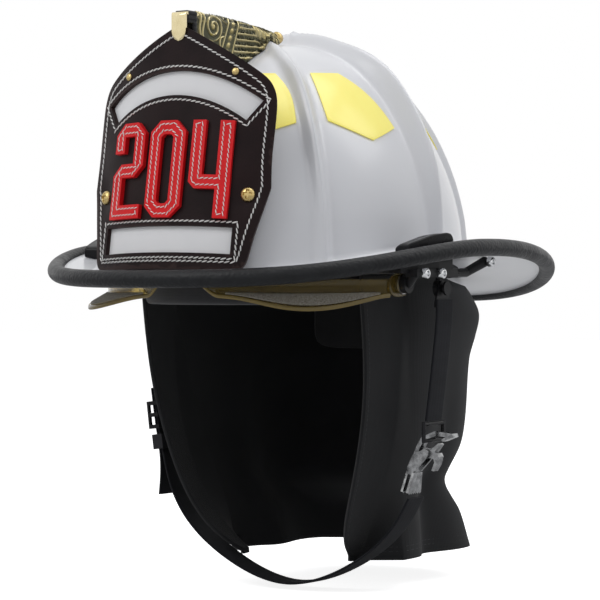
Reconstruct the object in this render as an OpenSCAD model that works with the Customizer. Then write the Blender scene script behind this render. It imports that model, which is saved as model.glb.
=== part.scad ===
// Traditional fire helmet with a leather front, a retractable eye shield,
// an ear and neck curtain, a chinstrap and an adjustable headband.
// Front of the helmet is -Y, the wearer's left is +X. The origin is the centre of the
// dome, at the height where the dome meets the brim.

/* [Shell] */
// Half width of the dome panels, outside
dome_half_w = 109.5; // [104:0.5:116]
// Half length of the dome panels, outside
dome_half_l = 133.5; // [127:0.5:141]
// Height of the dome panels above the origin
dome_h = 147; // [140:0.5:154]
// Wall of the shell
shell_wall = 3; // [2.2:0.1:3.4]
// Height of the ribs where they meet the brim
rib_base_h = 5.5; // [3:0.1:7]
// Extra height of the ribs at the crown
rib_crown_extra = 4; // [1:0.1:5]
// Half width of a rib
rib_half_w = 10.5; // [8:0.1:12]

/* [Brim] */
// Overhang of the brim beside the dome, to the middle of its edge bead
brim_side = 35; // [30:0.5:42]
// Overhang of the brim ahead of the dome
brim_ahead = 23.5; // [21:0.5:30]
// Overhang of the brim behind the dome
brim_behind = 94.5; // [84:0.5:108]
// Shift of the brim's centre behind the dome's centre
brim_shift = 3.5; // [0:0.5:7]
// Rise of the sides and dip of the ends
brim_saddle = 12.5; // [9:0.1:15]
// Thickness of the brim sheet
brim_t = 2.6; // [2.2:0.1:3]
// Radius of the fillet between dome and brim
brim_fillet = 8; // [6:0.5:10]
// Radius of the edge bead
bead_r = 5.5; // [5:0.1:6.5]

/* [Leather front] */
// Height of the leather's tip over the top of the dome
leather_over_dome = 4.74; // [3.5:0.02:6]
// Distance of the leather's tip behind its foot
leather_back = 25.04; // [23:0.02:27]
// Half width of the leather front at its lower corners
leather_half_w = 66.7; // [64:0.1:72]
// Radius to which the leather is bent
leather_bend_r = 97; // [92:1:120]
// Distance of the leather's foot ahead of the dome's centre
leather_foot_y = 143.5; // [142.5:0.5:147]
// Thickness of the face leather
leather_t = 2.6; // [2:0.1:3]
// Thickness of the backing leather
backing_t = 2; // [1.5:0.1:2.4]
// Thickness of the banner panels
banner_t = 1; // [0.6:0.1:1.4]
// Half spacing of the two brass screws
screw_half_gap = 53.8; // [50:0.1:56]
// Height of the two brass screws on the leather
screw_up = 47.4; // [44:0.2:54]
// Radius of the brass screws' heads
screw_head_r = 4.6; // [4:0.1:5.2]

/* [Eye shield] */
// Radius of the shield at its middle, about its pivots
shield_r = 88.5; // [86.5:0.5:89.5]
// Half width over which the shield curves in to its pivots
shield_half_w = 112; // [111:0.5:113]
// Thickness of the shield
shield_t = 2.4; // [1.8:0.1:3]
// Distance of the pivots ahead of the dome's centre
pivot_y = 34; // [32:0.5:36]
// Depth of the pivots below the origin
pivot_down = 9; // [8:0.5:10]
// Radius of the pivot pins
pivot_r = 3; // [2.4:0.1:3.4]
// Swing of the shield from stowed to lowered, in degrees
shield_swing = 45; // [30:1:50]

/* [Liner and suspension] */
// Thickness of the impact liner at its sides
liner_t = 15; // [12:0.5:17]
// Half length of the liner's front, outside
liner_front = 99; // [97:0.5:100]
// Thickness of the crown straps
crown_strap_t = 1.2; // [1:0.1:1.6]
// Width of the crown straps
crown_strap_w = 20; // [14:0.5:24]
// Half width of the headband, outside
band_half_w = 84; // [82:0.5:86]
// Thickness of the headband
band_t = 1.6; // [1.2:0.1:2]
// Travel of each band end when the knob is turned
band_travel = 9.4; // [8:0.1:10]

/* [Curtain] */
// Depth of the curtain's lower hem below the origin
curtain_down = 190; // [180:1:200]
// Thickness of the curtain's layered cloth
curtain_t = 2.6; // [2:0.1:3.2]

/* [Chinstrap] */
// Width of the webbing
web_w = 20; // [18:0.5:24]
// Thickness of the webbing
web_t = 1.8; // [1.4:0.1:2.2]
// Distance of the strap's anchors from the middle
strap_half_w = 114; // [113.5:0.1:115]
// Distance of the anchors behind the dome's centre
strap_y = 7; // [5:0.5:9]
// Radius of the anchor pins
strap_pin_r = 2.5; // [2:0.1:3]

/* [Hidden] */
$fn = 32;
// Running clearance of a shaft in its hole
run_fit = 0.05;
// Gap at which a piece rests on its seat
seat = 0.3;
// Gap between two flat pieces laid on each other
lay = 0.1;

// General functions

function lerp(a, b, k) = a + (b - a) * k;
function unit(v) = v / norm(v);
function spow(v, p) = sign(v) * pow(abs(v), p);
function clamp01(k) = min(1, max(0, k));
function ease(k) = let (c = clamp01(k)) c * c * (3 - 2 * c);

// Closed skin of triangles, turned so that its outside is out
function skin_volume(p, faces) =
    let (v = [for (f = faces) p[f[0]] * cross(p[f[1]], p[f[2]])])
    v * [for (x = v) 1];
module skin(p, faces) {
    polyhedron(p, skin_volume(p, faces) < 0 ? faces : [for (f = faces) [f[0], f[2], f[1]]]);
}

// Closed skin over a stack of rings, with a tip point at each end
module ring_skin(rings, tip_a, tip_b) {
    n = len(rings[0]);
    m = len(rings);
    last = m * n + 1;
    skin(
        concat([tip_a], [for (r = rings) each r], [tip_b]),
        concat(
            [for (j = [0:n - 1]) [0, 1 + j, 1 + (j + 1) % n]],
            [for (i = [0:m - 2], j = [0:n - 1])
                let (a = 1 + i * n + j, b = 1 + i * n + (j + 1) % n)
                each [[a, a + n, b], [b, a + n, b + n]]],
            [for (j = [0:n - 1]) [last, last - n + (j + 1) % n, last - n + j]]
        )
    );
}

// Closed skin over rings that come back to the first one
module loop_skin(rings) {
    n = len(rings[0]);
    m = len(rings);
    skin(
        [for (r = rings) each r],
        [for (i = [0:m - 1], j = [0:n - 1])
            let (a = i * n + j, b = i * n + (j + 1) % n, c = ((i + 1) % m) * n)
            each [[a, c + j, b], [b, c + j, c + (j + 1) % n]]]
    );
}

// Sheet between two grids of points of the same size, the first one outside
module slab(outer, inner) {
    m = len(outer);
    n = len(outer[0]);
    o = m * n;
    rim = concat(
        [for (j = [0:n - 2]) j],
        [for (i = [0:m - 2]) i * n + n - 1],
        [for (j = [0:n - 2]) (m - 1) * n + n - 1 - j],
        [for (i = [0:m - 2]) (m - 1 - i) * n]
    );
    k = len(rim);
    skin(
        concat([for (r = outer) each r], [for (r = inner) each r]),
        concat(
            [for (i = [0:m - 2], j = [0:n - 2])
                let (a = i * n + j)
                each [[a, a + n, a + 1], [a + 1, a + n, a + n + 1]]],
            [for (i = [0:m - 2], j = [0:n - 2])
                let (a = o + i * n + j)
                each [[a, a + 1, a + n], [a + 1, a + n + 1, a + n]]],
            [for (q = [0:k - 1])
                let (a = rim[q], b = rim[(q + 1) % k])
                each [[a, b, o + a], [b, o + b, o + a]]]
        )
    );
}

// Flat strip that follows a path in the X-Z plane, its width along Y
module web_strip(path, wide, thick, y_mid) {
    n = len(path);
    rings = [for (i = [0:n - 1])
        let (
            t = unit(path[min(i + 1, n - 1)] - path[max(i - 1, 0)]),
            s = [-t[1], t[0]] * thick / 2,
            p = path[i]
        )
        [[p[0] + s[0], y_mid - wide / 2, p[1] + s[1]], [p[0] + s[0], y_mid + wide / 2, p[1] + s[1]],
         [p[0] - s[0], y_mid + wide / 2, p[1] - s[1]], [p[0] - s[0], y_mid - wide / 2, p[1] - s[1]]]];
    ring_skin(rings, [path[0][0], y_mid, path[0][1]], [path[n - 1][0], y_mid, path[n - 1][1]]);
}

// The dome

// Point of an ellipsoid with half axes e, at plan angle f and height angle t
function dome_pt(e, f, t) = [e[0] * cos(t) * sin(f), -e[1] * cos(t) * cos(f), e[2] * sin(t)];
function dome_normal(e, p) = unit([p[0] / (e[0] * e[0]), p[1] / (e[1] * e[1]), p[2] / (e[2] * e[2])]);
shell_e = [dome_half_w, dome_half_l, dome_h];
inner_e = shell_e - [shell_wall, shell_wall, shell_wall];

// Each rib runs in plan from a point on the centre line to the brim: [plan angle, centre y]
rib_front_angle = 50;
rib_side_angle = 93.6;
rib_rear_angle = 136;
rib_half = [
    [rib_front_angle, -0.26 * dome_half_l], [rib_side_angle, 0.065 * dome_half_l],
    [rib_rear_angle, 0.2 * dome_half_l]
];
ribs = concat([[0, -0.3 * dome_half_l]], rib_half, [[180, 0.04 * dome_half_l]],
    [for (i = [2:-1:0]) [-rib_half[i][0], rib_half[i][1]]]);

// Plan angle of a rib where it passes height angle t
function rib_angle(r, t) =
    let (
        c = -r[1] / dome_half_l,
        d = [sin(r[0]), cos(r[0]) - c],
        qa = d * d,
        qb = c * d[1],
        qc = c * c - cos(t) * cos(t),
        k = (-qb + sqrt(max(0, qb * qb - qa * qc))) / qa
    )
    atan2(k * d[0], c + k * d[1]);

// Distance in plan from a point to a rib's line
function rib_gap(r, p) =
    let (
        a = [0, r[1]],
        b = [dome_half_w * sin(r[0]), -dome_half_l * cos(r[0])],
        k = clamp01(((p - a) * (b - a)) / ((b - a) * (b - a)))
    )
    norm(p - a - (b - a) * k);
front_rib_share = 0.25;
function rib_profile(s) = s < rib_half_w ? 0.5 + 0.5 * cos(180 * s / rib_half_w) : 0;

// Height of the ribs over the panels: the front rib is low under the crown holder
function rib_height(p, t) =
    let (
        full = rib_base_h + rib_crown_extra * sin(t) * sin(t),
        front_end = lerp(1, 0.5, ease((t - 52) / 14)),
        w = [for (i = [0:len(ribs) - 1])
            rib_profile(rib_gap(ribs[i], p)) * (i == 0 ? front_rib_share : (i == 1 || i == 7) ? front_end : 1)]
    )
    full * max(w);
function shell_pt(f, t, lift = 0) =
    let (p = dome_pt(shell_e, f, t))
    p + dome_normal(shell_e, p) * (rib_height([p[0], p[1]], t) + lift);
// Height of the shell's outside over a point in plan
function shell_top(x, y) =
    let (
        q = sqrt(max(0, 1 - pow(x / dome_half_w, 2) - pow(y / dome_half_l, 2))),
        t = asin(q),
        n = dome_normal(shell_e, [x, y, dome_h * q])
    )
    dome_h * q + rib_height([x, y], t) / max(0.3, n[2]);

// Columns of the shell follow the ribs: offsets across a rib, then three on the panel
column_top_t = 66;
function arc_per_deg(f, t) =
    PI / 180 * cos(t) * norm([dome_half_w * cos(f), dome_half_l * sin(f)]);
function column(i, t) =
    let (
        g = min(t, column_top_t),
        a0 = rib_angle(ribs[i], g),
        a1 = rib_angle(ribs[(i + 1) % len(ribs)], g),
        a1f = a1 < a0 ? a1 + 360 : a1,
        half = (a1f - a0) / 2,
        w0 = min(rib_half_w / arc_per_deg(a0, g), 0.8 * half),
        w1 = min(rib_half_w / arc_per_deg(a1, g), 0.8 * half)
    )
    concat([for (s = [0, 0.3, 0.62, 1]) a0 + s * w0],
        [for (s = [0.25, 0.5, 0.75]) lerp(a0 + w0, a1f - w1, s)],
        [for (s = [-1, -0.62, -0.3]) a1f + s * w1]);
function columns(t) = [for (i = [0:len(ribs) - 1]) each column(i, t)];

// The brim

// Half axes of the brim's edge in plan
brim_half_w = dome_half_w + brim_side;
brim_front = dome_half_l + brim_ahead + brim_shift;
brim_rear = dome_half_l + brim_behind - brim_shift;
function brim_z(f) = 2.87 * cos(f) - brim_saddle * cos(2 * f) + 2.67 * cos(3 * f) + 1.2 * cos(4 * f);
function brim_edge(f) = [
    brim_half_w * spow(sin(f), 2 / 2.1),
    brim_shift - (cos(f) > 0 ? brim_front : brim_rear) * spow(cos(f), 2 / 2.1),
    brim_z(f)
];
// Outward direction of the brim's edge in plan
function brim_out(f) =
    let (t = brim_edge(f + 0.5) - brim_edge(f - 0.5))
    unit([t[1], -t[0], 0]);
// Height of the brim's upper face where it leaves the dome
function root_z(f) = brim_z(f) * (0.72 - 0.42 * pow((1 - cos(f)) / 2, 2));
root_t = [for (f = [0:1:359]) asin((root_z(f) + brim_fillet) / dome_h)];
function root_angle(f) = root_t[floor(((f % 360) + 360) % 360)];
// Point of the brim's upper face, k from 0 at the dome to 1 where it enters the bead
sheet_over = 2;
function rim_pt(f, out) = brim_edge(f) + brim_out(f) * out + [0, 0, brim_t / 2];
function brim_run(f) =
    let (p = dome_pt(shell_e, f, 0), e = rim_pt(f, -bead_r - 1))
    norm([e[0] - p[0], e[1] - p[1]]);
function brim_pt(f, k) =
    let (p = dome_pt(shell_e, f, 0), e = rim_pt(f, -bead_r - 1))
    [lerp(p[0], e[0], k), lerp(p[1], e[1], k), lerp(root_z(f), e[2], pow(k, 1.5))];

// Rings of the shell, from the crown down and out, then back under the brim and up inside
dome_steps = [86, 81.5, 77, 71, 63, 54.5, 46, 38, 30, 22, 13];
fillet_steps = [30, 62];
function foot_cols() = columns(0);
function outer_ring(t) = [for (f = columns(t)) shell_pt(f, t)];
function foot_ring() = [for (f = foot_cols())
    let (t = root_angle(f), p = shell_pt(f, t))
    [p[0], p[1], root_z(f) + brim_fillet]];
function fillet_ring(a) = [for (f = foot_cols())
    let (
        t = root_angle(f),
        p = shell_pt(f, t),
        r = brim_pt(f, fillet_k(f)),
        u = 1 - cos(a),
        w = 1 - sin(a)
    )
    [lerp(p[0], r[0], u), lerp(p[1], r[1], u), lerp(r[2], root_z(f) + brim_fillet, w)]];
function rim_ring(out, drop) = [for (f = foot_cols()) rim_pt(f, out) - [0, 0, drop]];
function fillet_k(f) = brim_fillet * 1.15 / brim_run(f);
function brim_ring(k, drop) = [for (f = foot_cols()) brim_pt(f, lerp(fillet_k(f), 1, k)) - [0, 0, drop]];
function inner_foot(drop) = [for (f = foot_cols())
    let (p = dome_pt(inner_e, f, 0))
    [p[0], p[1], root_z(f) - drop]];
inner_steps = [8, 20, 34, 48, 62, 75];
function inner_ring(t) = [for (f = foot_cols()) dome_pt(inner_e, f, t)];

module outer_shell() {
    rings = concat(
        [for (t = dome_steps) outer_ring(t)],
        [foot_ring()],
        [for (a = fillet_steps) fillet_ring(a)],
        [for (k = [0, 0.5, 1]) brim_ring(k, 0)],
        [rim_ring(sheet_over, 0), rim_ring(sheet_over, brim_t)],
        [for (k = [1, 0.5]) brim_ring(k, brim_t)],
        [inner_foot(brim_t)],
        [for (t = inner_steps) inner_ring(t)]
    );
    top = shell_pt(0, 90);
    color("white") ring_skin(rings, top, [0, 0, inner_e[2]]);
}

// Rubber bead: a round section with a slot that grips the brim's sheet
slot_depth = sheet_over + seat;
slot_half = brim_t / 2 + lay;
slot_a = asin(slot_half / bead_r);
bead_section = concat(
    [for (i = [0:11]) let (a = 180 + slot_a + i * (360 - 2 * slot_a) / 11) [bead_r * cos(a), bead_r * sin(a)]],
    [[slot_depth, slot_half], [slot_depth, -slot_half]]
);
module edge_trim() {
    color([0.13, 0.13, 0.14])
        loop_skin([for (f = foot_cols())
            let (e = brim_edge(f), o = brim_out(f))
            [for (s = bead_section) e + o * s[0] + [0, 0, s[1]]]]);
}

// Reflective trapezoids, one on each panel: corner angles [plan, height]
patch_t = 0.5;
patch_gap = 0.4;
patch_half = [
    [[12, 56], [29, 55], [37, 37.2], [27, 34], [10, 33]],
    [[52.4, 55.6], [72.4, 56.3], [85.8, 37.2], [72.4, 32.6], [55.2, 38.3]],
    [[112, 56.3], [130, 55.6], [129, 38.3], [114, 32.6], [101, 37.2]],
    [[158, 55], [168, 56], [171, 33], [158, 34], [150, 38.3]]
];
function patch_at(c, u, v, lift) =
    let (
        mid = 0.5,
        top = lerp(c[0], c[1], u),
        low = u < mid ? lerp(c[4], c[3], u / mid) : lerp(c[3], c[2], (u - mid) / (1 - mid)),
        a = lerp(top, low, v),
        p = dome_pt(shell_e, a[0], a[1])
    )
    p + dome_normal(shell_e, p) * (rib_height([p[0], p[1]], a[1]) + lift);
patch_u = [0, 0.25, 0.5, 0.75, 1];
patch_v = [0, 0.25, 0.5, 0.75, 1];
module patch(c) {
    slab(
        [for (v = patch_v) [for (u = patch_u) patch_at(c, u, v, patch_gap + patch_t)]],
        [for (v = patch_v) [for (u = patch_u) patch_at(c, u, v, patch_gap)]]
    );
}
module reflective_patches() {
    color([0.93, 0.95, 0.35])
        for (c = patch_half) {
            patch(c);
            mirror([1, 0, 0]) patch(c);
        }
}

// Leather front: flat shapes bent to a cylinder and leaned back

leather_foot_z = 0.5;
leather_rise = dome_h + leather_over_dome - leather_foot_z;
leather_lean = atan(leather_back / leather_rise);
leather_h = leather_back / sin(leather_lean);
leather_tip_y = -leather_foot_y + leather_h * sin(leather_lean);
leather_tip_z = leather_foot_z + leather_h * cos(leather_lean);
// Half outline as shares of half width and height, from the tip down
leather_outline = [
    [0, 1], [0.06, 0.989], [0.306, 0.937], [0.636, 0.859], [0.825, 0.806], [0.9, 0.78], [0.948, 0.752],
    [0.978, 0.715], [0.99, 0.675], [0.99, 0.587], [0.984, 0.463], [1, 0.343], [0.934, 0.218],
    [0.89, 0.134], [0.862, 0.06], [0.84, 0.026], [0.79, 0.006], [0.72, 0]
];
module leather_shape() {
    half = [for (p = leather_outline) [p[0] * leather_half_w, p[1] * leather_h]];
    polygon(concat(half, [for (i = [len(half) - 1:-1:1]) [-half[i][0], half[i][1]]]));
}
arch_mid = 21;
arch_in = 87.5;
arch_out = 103;
arch_half_angle = 34.6;
module arch_shape(grow = 0) {
    a = arch_half_angle + grow / arch_out * 57.3;
    polygon(concat(
        [for (i = [0:16]) let (g = -a + i * a / 8) [(arch_out + grow) * sin(g), arch_mid + (arch_out + grow) * cos(g)]],
        [for (i = [0:16]) let (g = a - i * a / 8) [(arch_in - grow) * sin(g), arch_mid + (arch_in - grow) * cos(g)]]
    ));
}
low_half_w = 47.3;
low_from = 10.2;
low_to = 26.8;
module low_shape(grow = 0) {
    translate([-low_half_w - grow, low_from - grow])
        square([2 * (low_half_w + grow), low_to - low_from + 2 * grow]);
}
// Ply between two depths behind the leather's face
module bent_ply(from, to) {
    intersection() {
        difference() {
            translate([0, leather_bend_r + from, -20])
                cylinder(r = leather_bend_r, h = leather_h + 40, $fn = 96);
            translate([0, leather_bend_r + to, -21])
                cylinder(r = leather_bend_r, h = leather_h + 42, $fn = 96);
        }
        translate([0, 60, 0]) rotate([90, 0, 0]) linear_extrude(70) children();
    }
}
module on_leather() {
    translate([0, -leather_foot_y, leather_foot_z]) rotate([-leather_lean, 0, 0]) children();
}
// Frame at the leather's face, its Y pointing straight in: x across the front, v up
function bend_angle(x) = asin(x / leather_bend_r);
module on_bend(x, v) {
    on_leather()
        translate([0, leather_bend_r, v]) rotate([0, 0, bend_angle(x)])
            translate([0, -leather_bend_r, 0]) rotate([-90, 0, 0]) children();
}
screw_shank_r = 2;
rivet_half_gap = 40.6;
rivet_up = 123;
rivet_r = 2.4;
rivet_shank_r = 1.2;
module screw_holes() {
    for (s = [-1, 1])
        on_bend(s * screw_half_gap, screw_up) translate([0, 0, -9]) cylinder(r = screw_shank_r + run_fit, h = 30);
}
module leather_front() {
    color([0.16, 0.12, 0.12])
        difference() {
            on_leather() bent_ply(0, leather_t) difference() {
                leather_shape();
                arch_shape();
                low_shape();
            }
            screw_holes();
            for (s = [-1, 1])
                on_bend(s * rivet_half_gap, rivet_up) translate([0, 0, -5])
                    cylinder(r = rivet_shank_r + run_fit, h = 10);
        }
}
banner_from = leather_t + lay;
backing_from = banner_from + banner_t + lay;
module leather_backing() {
    color([0.22, 0.17, 0.15])
        difference() {
            on_leather() bent_ply(backing_from, backing_from + backing_t) leather_shape();
            screw_holes();
        }
}
module arch_banner() {
    color("white") on_leather() bent_ply(banner_from, banner_from + banner_t) arch_shape(2.5);
}
module lower_banner() {
    color("white") on_leather() bent_ply(banner_from, banner_from + banner_t) low_shape(2.5);
}
// Domed head of radius r and height h, its flat side at z = 0 and its top below
module round_head(r, h) {
    rotate_extrude($fn = 48)
        polygon(concat([[0, -h]], [for (a = [75:-15:0]) [r * cos(a), -h * sin(a)]], [[0, 0]]));
}
// How far the dome is behind the leather's face, along the inward direction
function to_world(p) =
    let (c = cos(leather_lean), s = sin(leather_lean))
    [p[0], -leather_foot_y + p[1] * c + p[2] * s, leather_foot_z - p[1] * s + p[2] * c];
function bent_at(x, side, d, v) =
    let (a = bend_angle(x), r = leather_bend_r - d)
    to_world([r * sin(a) + side * cos(a), leather_bend_r - r * cos(a) + side * sin(a), v]);
function dome_reach(x, side, v) =
    let (
        o = bent_at(x, side, 0, v),
        d = bent_at(x, side, 1, v) - o,
        oo = [o[0] / dome_half_w, o[1] / dome_half_l, o[2] / dome_h],
        dd = [d[0] / dome_half_w, d[1] / dome_half_l, d[2] / dome_h],
        a = dd * dd,
        b = 2 * (oo * dd),
        c = oo * oo - 1
    )
    (-b - sqrt(b * b - 4 * a * c)) / (2 * a);
post_r = 5;
post_from = backing_from + backing_t + seat;
post_to = min([for (a = [0:30:330])
    dome_reach(screw_half_gap, post_r * cos(a), screw_up + post_r * sin(a))]) - seat;
module front_screws() {
    color([0.8, 0.66, 0.36])
        for (s = [-1, 1])
            on_bend(s * screw_half_gap, screw_up) {
                translate([0, 0, -seat]) round_head(screw_head_r, 2.6);
                translate([0, 0, -seat - 0.5]) cylinder(r = screw_shank_r, h = post_to + seat);
            }
}
module front_rivets() {
    color([0.8, 0.66, 0.36])
        for (s = [-1, 1])
            on_bend(s * rivet_half_gap, rivet_up) {
                translate([0, 0, -lay]) round_head(rivet_r, 1.4);
                translate([0, 0, -0.5]) cylinder(r = rivet_shank_r, h = leather_t + 0.4);
            }
}
// Posts between the leather and the dome, round the screws
module front_spacers() {
    color([0.1, 0.1, 0.1])
        for (s = [-1, 1])
            on_bend(s * screw_half_gap, screw_up)
                difference() {
                    translate([0, 0, post_from]) cylinder(r = post_r, h = post_to - post_from);
                    cylinder(r = screw_shank_r + run_fit, h = 30);
                }
}

// Crown holder: a cast bracket that rises from the crown and holds the leather's tip

holder_front_y = -100;
holder_back_y = -16;
holder_top_front = dome_h + 10.5;
holder_top_back = dome_h + 7;
// Sections along the holder: share of its length, flange half width, crest half width
holder_cuts = [
    [0, 5.5, 4], [0.08, 7, 4.8], [0.2, 8.5, 5.4], [0.36, 10, 6], [0.53, 9.4, 6.2],
    [0.66, 8.8, 6.2], [0.74, 8.4, 6], [0.81, 8, 5.8], [0.87, 7.4, 5.4], [0.92, 6.6, 5],
    [0.96, 5.8, 4.4], [1, 5, 4]
];
function holder_ring(c) =
    let (
        y = lerp(holder_front_y, holder_back_y, c[0]),
        w = c[1],
        r = c[2],
        zt = lerp(holder_top_front, holder_top_back, c[0]),
        g = 1,
        ze = shell_top(w, y) + g,
        zm = lerp(ze, zt, 0.45)
    )
    [
        [0, y, zt], [r * 0.7, y, zt - 1.2], [r, y, zt - 4], [lerp(r, w, 0.25), y, max(zm, ze + 3)],
        [lerp(r, w, 0.7), y, ze + 3], [w, y, ze + 2], [w, y, ze],
        [w * 0.66, y, shell_top(w * 0.66, y) + g], [w * 0.33, y, shell_top(w * 0.33, y) + g],
        [0, y, shell_top(0, y) + g],
        [-w * 0.33, y, shell_top(w * 0.33, y) + g], [-w * 0.66, y, shell_top(w * 0.66, y) + g],
        [-w, y, ze], [-w, y, ze + 2], [-lerp(r, w, 0.7), y, ze + 3],
        [-lerp(r, w, 0.25), y, max(zm, ze + 3)], [-r, y, zt - 4], [-r * 0.7, y, zt - 1.2]
    ];
function ring_mid(r) = [0, r[0][1], (r[0][2] + r[9][2]) / 2];
module crown_holder() {
    rings = [for (c = holder_cuts) holder_ring(c)];
    color([0.55, 0.47, 0.25])
        ring_skin(rings, ring_mid(rings[0]), ring_mid(rings[len(rings) - 1]));
}
// Bumper between the holder and the leather's tip
bumper_h = 13;
bumper_half_w = 5;
bumper_y0 = leather_tip_y + backing_from + backing_t + 0.5;
module holder_bumper() {
    color([0.08, 0.08, 0.08])
        translate([-bumper_half_w, bumper_y0, holder_top_front - bumper_h - seat])
            cube([2 * bumper_half_w, holder_front_y - seat - bumper_y0, bumper_h]);
}
// Plain tongue that hooks over the leather's tip
tongue_w = 11;
tongue_t = 1.8;
tongue_drop = 16;
tongue_lean = (leather_tip_z - holder_top_front + tongue_drop) * tan(leather_lean);
tongue_y = leather_tip_y - tongue_lean - seat;
module holder_tongue() {
    color([0.88, 0.8, 0.52]) {
        translate([0, tongue_y, 0]) rotate([90, 0, 0]) linear_extrude(tongue_t)
            polygon(concat(
                [[-tongue_w / 2, holder_top_front], [tongue_w / 2, holder_top_front]],
                [for (a = [0:-20:-180])
                    [tongue_w / 2 * 0.86 * cos(a), holder_top_front - tongue_drop + 7 + 7 * sin(a)]]
            ));
        translate([-tongue_w / 2, tongue_y - tongue_t, holder_top_front + lay])
            cube([tongue_w, holder_front_y + 4 - tongue_y + tongue_t, tongue_t]);
        translate([-tongue_w / 2, tongue_y - tongue_t, holder_top_front - 1])
            cube([tongue_w, tongue_t, 1 + tongue_t + lay]);
    }
}
finial_y = holder_back_y + seat;
finial_z = holder_top_back - 2.2;
module holder_finial() {
    color([0.72, 0.6, 0.33])
        translate([0, finial_y, finial_z]) rotate([-90, 0, 0])
            rotate_extrude($fn = 40)
                polygon([[0, 0], [2.6, 0], [2.6, 1], [4, 1.8], [4.3, 3.4], [4, 5.4], [3, 7.2], [1.4, 8.6], [0, 9.2]]);
}

// Pieces fixed to the brim

// Solid over a stretch of the brim: plan angles, shares of the brim's width, heights over it
function brim_block(fs, ks, low, high) = [for (f = fs) [for (k = ks) brim_pt(f, k) + [0, 0, low]]];
block_f = [67, 70, 76, 84, 90, 93];
block_k = [0.38, 0.48, 0.72, 0.82];
block_h = 11;
block_rise = [0.25, 0.62, 0.9, 1, 0.97, 0.55];
block_slope = [0.8, 1, 0.94, 0.6];
module side_block() {
    n = len(block_f);
    slab(
        [for (i = [0:n - 1]) [for (j = [0:3])
            brim_pt(block_f[i], block_k[j]) + [0, 0, seat + block_h * block_rise[i] * block_slope[j]]]],
        [for (i = [0:n - 1]) [for (j = [0:3]) brim_pt(block_f[i], block_k[j]) + [0, 0, seat]]]
    );
}
module side_block_left() { color([0.1, 0.1, 0.11]) side_block(); }
module side_block_right() { color([0.1, 0.1, 0.11]) mirror([1, 0, 0]) side_block(); }

bar_x = dome_half_w + 10.5;
bar_z = -2.5;
bar_h = 5;
bar_w = 9;
bar_front_y = -42;
bar_back_y = 8;
// Rear arm's end, just under the brim
arm_end_r = 3.4;
arm_end = brim_pt(101, 0.64) - [0, 0, brim_t + seat + arm_end_r];
anchor_z = -12;
lug_x = strap_half_w - 2.8;
lug_t = 3;
boss_x = 110;
boss_t = 4;
module rod(a, b, r0, r1) {
    hull() {
        translate(a) sphere(r = r0, $fn = 12);
        translate(b) sphere(r = r1, $fn = 12);
    }
}
module side_bracket() {
    // Clamp plate under the brim
    slab(
        [for (f = [70, 76, 84, 90]) [for (k = [0.2, 0.37, 0.52]) brim_pt(f, k) - [0, 0, brim_t + seat]]],
        [for (f = [70, 76, 84, 90]) [for (k = [0.2, 0.37, 0.52])
            let (p = brim_pt(f, k)) [p[0], p[1], bar_z]]]
    );
    // Bar along the side
    translate([bar_x - bar_w / 2, bar_front_y, bar_z - bar_h / 2])
        cube([bar_w, bar_back_y - bar_front_y, bar_h]);
    // Rear arm, rising to the brim
    rod([bar_x, bar_back_y, bar_z], [bar_x + 1, bar_back_y + 16, bar_z + 0.5], 3, 3);
    rod([bar_x + 1, bar_back_y + 16, bar_z + 0.5], arm_end, 3, arm_end_r);
    // Front arm to the shield's pivot
    rod([bar_x, bar_front_y + 4, bar_z - 0.5], [boss_x + 3, -pivot_y, -pivot_down], 3.2, 3.2);
    translate([boss_x, -pivot_y, -pivot_down]) rotate([0, 90, 0]) cylinder(r = 6, h = boss_t);
    // Arm to the strap's anchor
    rod([bar_x, strap_y, bar_z], [lug_x - 0.4, strap_y, anchor_z + 8.2], 3, 2);
    rod([lug_x - 0.4, strap_y, anchor_z + 8.2], [lug_x - 0.4, strap_y, anchor_z + 3], 2, 1.5);
    translate([lug_x - lug_t / 2, strap_y, anchor_z]) rotate([0, 90, 0]) cylinder(r = 5.5, h = lug_t);
    // Pivot pin with its head inside the shield
    translate([ear_x - seat - 1, -pivot_y, -pivot_down]) rotate([0, 90, 0])
        cylinder(r = pivot_r, h = boss_x - ear_x + seat + 2);
    translate([ear_x - seat - 1.6, -pivot_y, -pivot_down]) rotate([0, 90, 0]) cylinder(r = 5, h = 1.6);
    // Anchor pin with its head outside the strap's plate
    translate([lug_x, strap_y, anchor_z]) rotate([0, 90, 0]) cylinder(r = strap_pin_r, h = 6);
    translate([lug_x + 5, strap_y, anchor_z]) rotate([0, 90, 0]) cylinder(r = 4.5, h = 1.5);
}
module side_bracket_left() { color([0.12, 0.12, 0.13]) side_bracket(); }
module side_bracket_right() { color([0.12, 0.12, 0.13]) mirror([1, 0, 0]) side_bracket(); }

// Chrome screws: two on the bar's outer face, one at the end of the rear arm
cap_r = 3.4;
module cap_screw() {
    rotate([0, 90, 0])
        rotate_extrude($fn = 32)
            polygon([[0, 0], [cap_r, 0], [cap_r, 1.6], [2.9, 2.6], [1.6, 3.2], [0, 3.3]]);
}
module bracket_screws() {
    color([0.85, 0.85, 0.87])
        for (s = [0, 1]) mirror([s, 0, 0]) {
            for (y = [-34, -14]) translate([bar_x + bar_w / 2 + lay, y, bar_z]) cap_screw();
            translate(arm_end + [arm_end_r + lay, 0, 0]) cap_screw();
        }
}

// Eye shield: a surface of revolution about the pivots, so it slides along itself

shield_p = 1.6;
function shield_rad(x) = shield_r * pow(max(0, 1 - pow(abs(x) / shield_half_w, shield_p)), 1 / shield_p);
shield_top_a = 40;
shield_low_z = -14.5;
notch_half = 26;
notch_h = 9;
lip_out = 20;
lip_end = 107;
shield_x_end = 108;
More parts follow.
